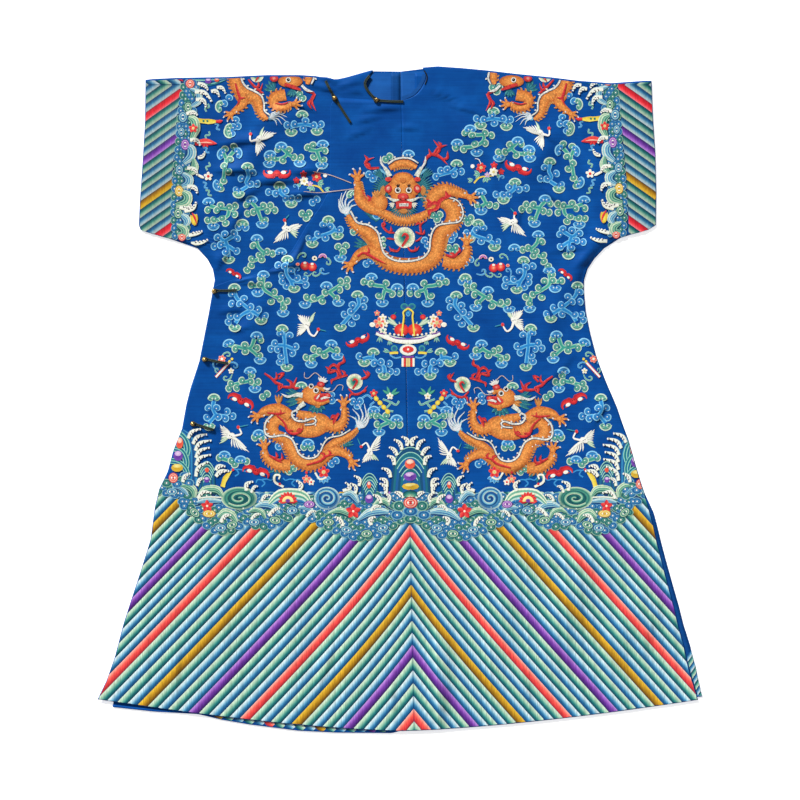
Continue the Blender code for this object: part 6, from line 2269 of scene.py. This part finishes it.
flute = join(
    band(((-20, -21), (-6, -6), (8, 9)), 6.4, SCARLET_WING, 0.6, count=4),
    band(((-20, -21), (-6, -6), (8, 9)), 3.6, WHITE, 0.9, count=4),
    dots(((9, 12), (14, 17)), 3, STRAW_YELLOW[[1]], 1.0), flower(-7, 17, 8, 6, PINK, IVORY),
    flower(12, -8, 6, 5, IVORY, STRAW), tendril(-20, 6, 80, BLUE_RIBBON),
    tendril(2, 25, 20, TEAL_RIBBON), tendril(18, 4, -30, BLUE_RIBBON),
    tendril(4, -22, 200, TEAL_RIBBON), tendril(-16, -8, 130, TEAL_RIBBON, 0.8),
)
ribbons = join(
    *[oval(-28 + 8.0 * k, 3 - 9.0 * k, 6, 5, STRAW_YELLOW, turn=-48, lift=0.9, around=8)
      for k in range(4)],
    flower(-33, 14, 8, 5, RED_FLAME, STRAW), flower(1, 8, 7, 5, IVORY, STRAW),
    fan(2, 10, 20, (20, 48, 112, 146), 6, LEAF, 0.6),
    band(((-36, 2), (-46, 10), (-58, 4)), 4, STEM_FLOSS[1], 0.5),
    band(((-32, -4), (-40, -12), (-26, -18), (-16, -12)), 4, STEM_FLOSS[1], 0.5),
    band(((-14, 2), (2, -6), (-8, -20), (8, -24)), 4, STEM_FLOSS[0], 0.5),
    band(((2, -4), (14, -10), (20, -2)), 4, STEM_FLOSS[0], 0.5),
)
wisp = join(band(((0, 0), (8, 6), (4, 14), (14, 14)), 3.4, WISP, 0.3),
            band(((4, 14), (-6, 16), (-10, 10)), 3.2, WISP, 0.3),
            band(((14, 14), (22, 10), (28, 14)), 3.0, WISP, 0.3))
basket_half = join(
    oval(31, 147, 15, 13, steps("#e8b27a", "#e8543e", "#e23a30", "#c8242c"), lift=0.9, dome=0.8,
         around=16),
    fan(31, 146, 19, (10, 30, 52, 75, 100), 5, FEATHER_GREEN, 0.6),
    fan(40, 156, 26, (28, 44), 8, FEATHER_GREEN, 0.5),
    band(((30, 134), (28, 156), (26, 174), (27, 184), (20, 190), (17, 192)), 3.6, STRAW_YELLOW, 2.0),
    oval(25, 196, 8, 7, steps("#174c9e", "#1f6a8a", "#3f9a90"), lift=0.4),
    band(((17, 123), (40, 126), (62, 132), (84, 140)), (12, 13, 11, 7), CREST_WHITE, 1.4, count=12,
         across=5),
    band(((17, 128), (40, 129), (56, 134)), (2.6, 2.6, 1), PALE_PURPLE[[2, 1, 2]], 2.0),
    band(((66, 138), (76, 140), (84, 144)), (2, 2.4, 1), PALE_PURPLE[[2, 1, 2]], 2.0),
    dots([(24 + 8.0 * k, 121.0 + 0.4 * k * k) for k in range(8)], 3.0, WHITE, 1.6),
    dots([(28 + 9.0 * k, 136.0 + 0.3 * k * k) for k in range(6)], 2.6, CREAM, 1.9),
    fan(76, 134, 14, (250, 275, 300), 3, STEM_FLOSS[0], 0.6),
    fan(56, 126, 12, (240, 265, 290), 3, STEM_FLOSS[0], 0.6), flower(77, 162, 12, 5, PINK, STRAW),
    flower(70, 172, 8, 5, IVORY, STRAW), flower(66, 160, 8, 5, IVORY, STRAW),
    flower(70, 146, 8, 5, IVORY, LEAF), flower(82, 182, 6, 5, PINK, STRAW),
    oval(92, 158, 6, 5, IVORY, lift=0.8), oval(48, 174, 6, 5.5, RED_FLAME[[2, 1, 0]], lift=0.8),
    hairline(((42, 184), (54, 172), (62, 162)), 2.0, 0.5, LEAF),
    band(((38, 99), (46, 99), (56, 98)), 5, STRAW_YELLOW, 0.9, count=5),
    fan(56, 100, 14, (10, 35), 5, STEM_FLOSS[0], 0.6),
    oval(46, 108, 7, 7, steps("#174c9e", "#1f6a8a", "#4fa79c"), lift=0.4),
    band(((32, 90), (44, 88), (54, 94), (50, 98)), 3, STEM_FLOSS[1], 0.5),
    *[band(((x, 88), (x, 70)), 4.6, tone, 0.8, count=3)
      for x, tone in ((19, STRAW), (24, RED_FLAME), (28.5, CREST_WHITE))],
)
basket = join(basket_half, move(basket_half, 34, flip=True),
              oval(17, 105, 18, 12, CREST_WHITE, lift=1.0, around=14),
              oval(17, 106, 12, 7, PALE_RED[[1, 2, 1]], lift=1.4),
              flower(17, 106, 7, 6, RED_FLAME, IVORY, 1.8),
              band(((5, 91), (17, 90), (29, 91)), 4, PALE_PURPLE[[2, 1, 2]], 1.2),
              oval(17, 183, 5, 8, STEM_FLOSS[1], lift=0.5),
              oval(17, 193, 5, 3, PALE_PURPLE[[1, 2]], lift=1.2))

# motif, x, y, turn, size, mirrored
SMALL_AT = (
    (CRANES[0], -236, 359, 0, 1, 0), (CRANES[0], 235, 373, 0, 1, 1), (CRANES[1], -195, 157, 0, 1, 0),
    (CRANES[1], 239, 167, 0, 1, 1), (CRANES[2], -296, 546, 0, 1, 0), (CRANES[2], 295, 558, 0, 1, 1),
    (CRANES[3], -355, -75, 0, 1, 0), (CRANES[3], 386, -84, 0, 1, 1), (CRANES[3], -63, -109, 100, .9, 0),
    (CRANES[3], 103, -118, -100, .9, 1), (bat, -258, 477, 180, 1, 0), (bat, -89, 127, 203, .9, 0),
    (bat, -334, -4, -25, 1, 0), (bat, -302, -152, -15, 1, 0), (bat, -349, 264, -30, .6, 0),
    (bat, 248, 489, 160, 1, 0), (bat, 121, 122, 155, .9, 0), (bat, 365, -4, 25, 1, 0),
    (bat, 334, -155, 15, 1, 0), (bat, 346, 262, -40, .6, 0), (fruits, -188, 283, 0, 1, 0),
    (fruits, 200, 281, 0, 1, 1), (blossom, -184, 457, 0, 1, 1), (blossom, 179, 476, 0, 1, 0),
    (flute, -366, 69, 0, 1, 0), (flute, 399, 69, 0, 1, 1), (ribbons, -22, 0, 0, 1, 0),
    (ribbons, 59, 0, 0, 1, 1), (wisp, -346, -160, 0, 1, 0), (wisp, -290, -182, 10, 1, 0),
    (wisp, -220, -182, -10, 1, 1), (wisp, 384, -162, 0, 1, 1), (wisp, 330, -182, -10, 1, 1),
    (wisp, 262, -182, 10, 1, 0),
)
placed = [move(motif, x, y, turn, size, bool(mirrored))
          for motif, x, y, turn, size, mirrored in SMALL_AT]
creatures = join(basket, *placed)
embroider("creatures_and_flowers", kept_inside(creatures))

# %% emblems over the waves
emblems = join(
    blade(((-372, -182), (-366, -164), (-352, -148)), 11, STRAW_YELLOW, 1.2, 0.9),
    dots(((-350, -146),), 3, RED_FLAME[[1]], 1.4),
    band(((-244, -182), (-262, -172), (-262, -158), (-252, -158), (-254, -166)), (5, 5, 4, 3), IVORY,
         1.2),
    flower(-160, -151, 12, 5, RED_FLAME, STRAW),
    fan(-160, -160, 16, (200, 235, 270, 305, 340), 8, STEM_FLOSS[1], 0.6),
    flower(-196, -166, 9, 5, PINK, STRAW),
    band(((-178, -152), (-168, -166), (-154, -162)), 4, CREST_WHITE, 0.9),
    flower(-186, -172, 7, 5, IVORY, RED_FLAME),
    dots(((-252, -176), (-196, -152)), 3, RED_FLAME[[1]], 1.4),
)
embroider("emblems", join(emblems, move(emblems, 38, flip=True)))

# %% [markdown]
# ## The back
# The back is worked like the front, with its own facing dragon and pair in profile,
# and it has no flap. It lies against the surface here, so its needlework is pressed
# to a tenth of its height, and the clouds and the water are drawn with fewer rings.

# %% outline of the back
PRESSED = 0.1


def back_row_at(x, y):
    """The back row through (x, y): y = row (1 - h) + 228 h, h = (hem(x) + 628) / 856."""
    h = (read(BACK_HEM, x) - HEM_CORNER) / SKIRT
    return np.where(y < HEM_BOW_START, (y - HEM_BOW_START * h) / (1.0 - h), y)


def back_edges(row):
    """x of the back's two side edges on a row, 1 mm inside."""
    right = read(RIGHT_EDGE, row) - read(BACK_SHOWS_RIGHT, row) + 1.0
    return right, read(LEFT_EDGE, row) + read(BACK_SHOWS_LEFT, row) - 1.0


def in_back_skirt(x, y):
    """Test for the back's skirt below the waves."""
    row = back_row_at(x, y)
    right, left = back_edges(row)
    return (x > right) & (x < left) & (row > HEM_CORNER + 1.0) & (y < WAVE_TOP)


def pressed(motif):
    """A motif pressed flat and pulled inside the outline of the back."""
    points = motif[0] * (1.0, 1.0, PRESSED)
    points[:, 1] = np.clip(points[:, 1], read(BACK_HEM, points[:, 0]) + 1.0, shoulder_top(points[:, 0]))
    points[:, 0] = np.clip(points[:, 0], *back_edges(back_row_at(points[:, 0], points[:, 1])))
    return (points, *motif[1:])


def underside(x, y):
    """The back cloth's lower face lies level."""
    return np.full(np.shape(x), BACK_LEVEL - CLOTH / 2)


def plain_heads(family):
    """A curl and a cap with three rings each."""
    rings = family[[2, 1, 0, 3]]
    return oval(0, 0, 7.8, 6.8, rings, around=8), oval(0, 1, 12, 8, rings, around=8)


PLAIN_HEADS = [plain_heads(family) for family in (CLOUD_GREEN, CLOUD_BLUE)]
back_clouds = [move(cloud(name, heads=PLAIN_HEADS), x, y) for name, x, y, _, _ in CLOUDS_AT]
back_clouds += [move(cloud(name, heads=PLAIN_HEADS), x, y, flip=True) for name, _, _, x, y in CLOUDS_AT]
back_sleeve = sleeve_waves(plain=True)
BACK_WORK = (
    ("back_standing_water", join(*[skirt_rolls(side, in_back_skirt, 30.0, 5) for side in (1, -1)]),
     roll_floss),
    ("back_cuff_water", join(sleeve_rolls(1), sleeve_rolls(-1)), roll_floss),
    ("back_water",
     join(lobes(False, 1.75), lobes(True, 1.75), side_hills, right_half, left_half, middle_waves),
     floss),
    ("back_sleeve_waves", join(back_sleeve, move(back_sleeve, -4.0, 5.0, flip=True)), floss),
    ("back_clouds", join(*back_clouds), floss),
    ("back_dragons",
     join(move(front_dragon, 8.4, 388.5), move(profile_dragon, -190, -40),
          move(profile_dragon, 226, -46, flip=True), shoulder_dragon,
          move(shoulder_dragon, 4.0, flip=True)),
     scale_floss),
    ("back_creatures_and_flowers", creatures, floss),
)
for name, motif, thread in BACK_WORK:
    embroider(name, pressed(motif), top=underside, side=-1, material=thread)


VENT_TURNED = 1.2


def vent_corner():
    """The striped water that turns inwards at the foot of the left vent: short bands
    that rise towards the back's edge."""
    stripes = []
    for k, y in enumerate(np.arange(-620.0, -526.0, 12.0)):
        edge = float(read(LEFT_EDGE, back_row_at(615.0, y)))
        line = ((edge - 4.0, y - 15.0), (edge + 7.0, y), (edge + 18.0, y + 15.0))
        stripes.append(band(line, 8.8, (GREEN_ROLL, BLUE_ROLL)[k % 2], 0.1, dome=0.2, count=7, across=5))
    points, *rest = join(*stripes)
    points[:, 1] = np.maximum(points[:, 1], read(BACK_HEM, points[:, 0]) + 1.0)
    row = back_row_at(points[:, 0], points[:, 1])
    edge = read(LEFT_EDGE, row)
    points[:, 0] = np.clip(points[:, 0], edge + 0.5, edge + read(BACK_SHOWS_LEFT, row) - 0.6)
    return (points, *rest)


def turned_corner(x, y):
    """The turned satin and the lining lie level on the inner side of the back."""
    return np.full(np.shape(x), BACK_LEVEL + CLOTH / 2 + VENT_TURNED)


embroider("vent_corner", vent_corner(), top=turned_corner, material=roll_floss)
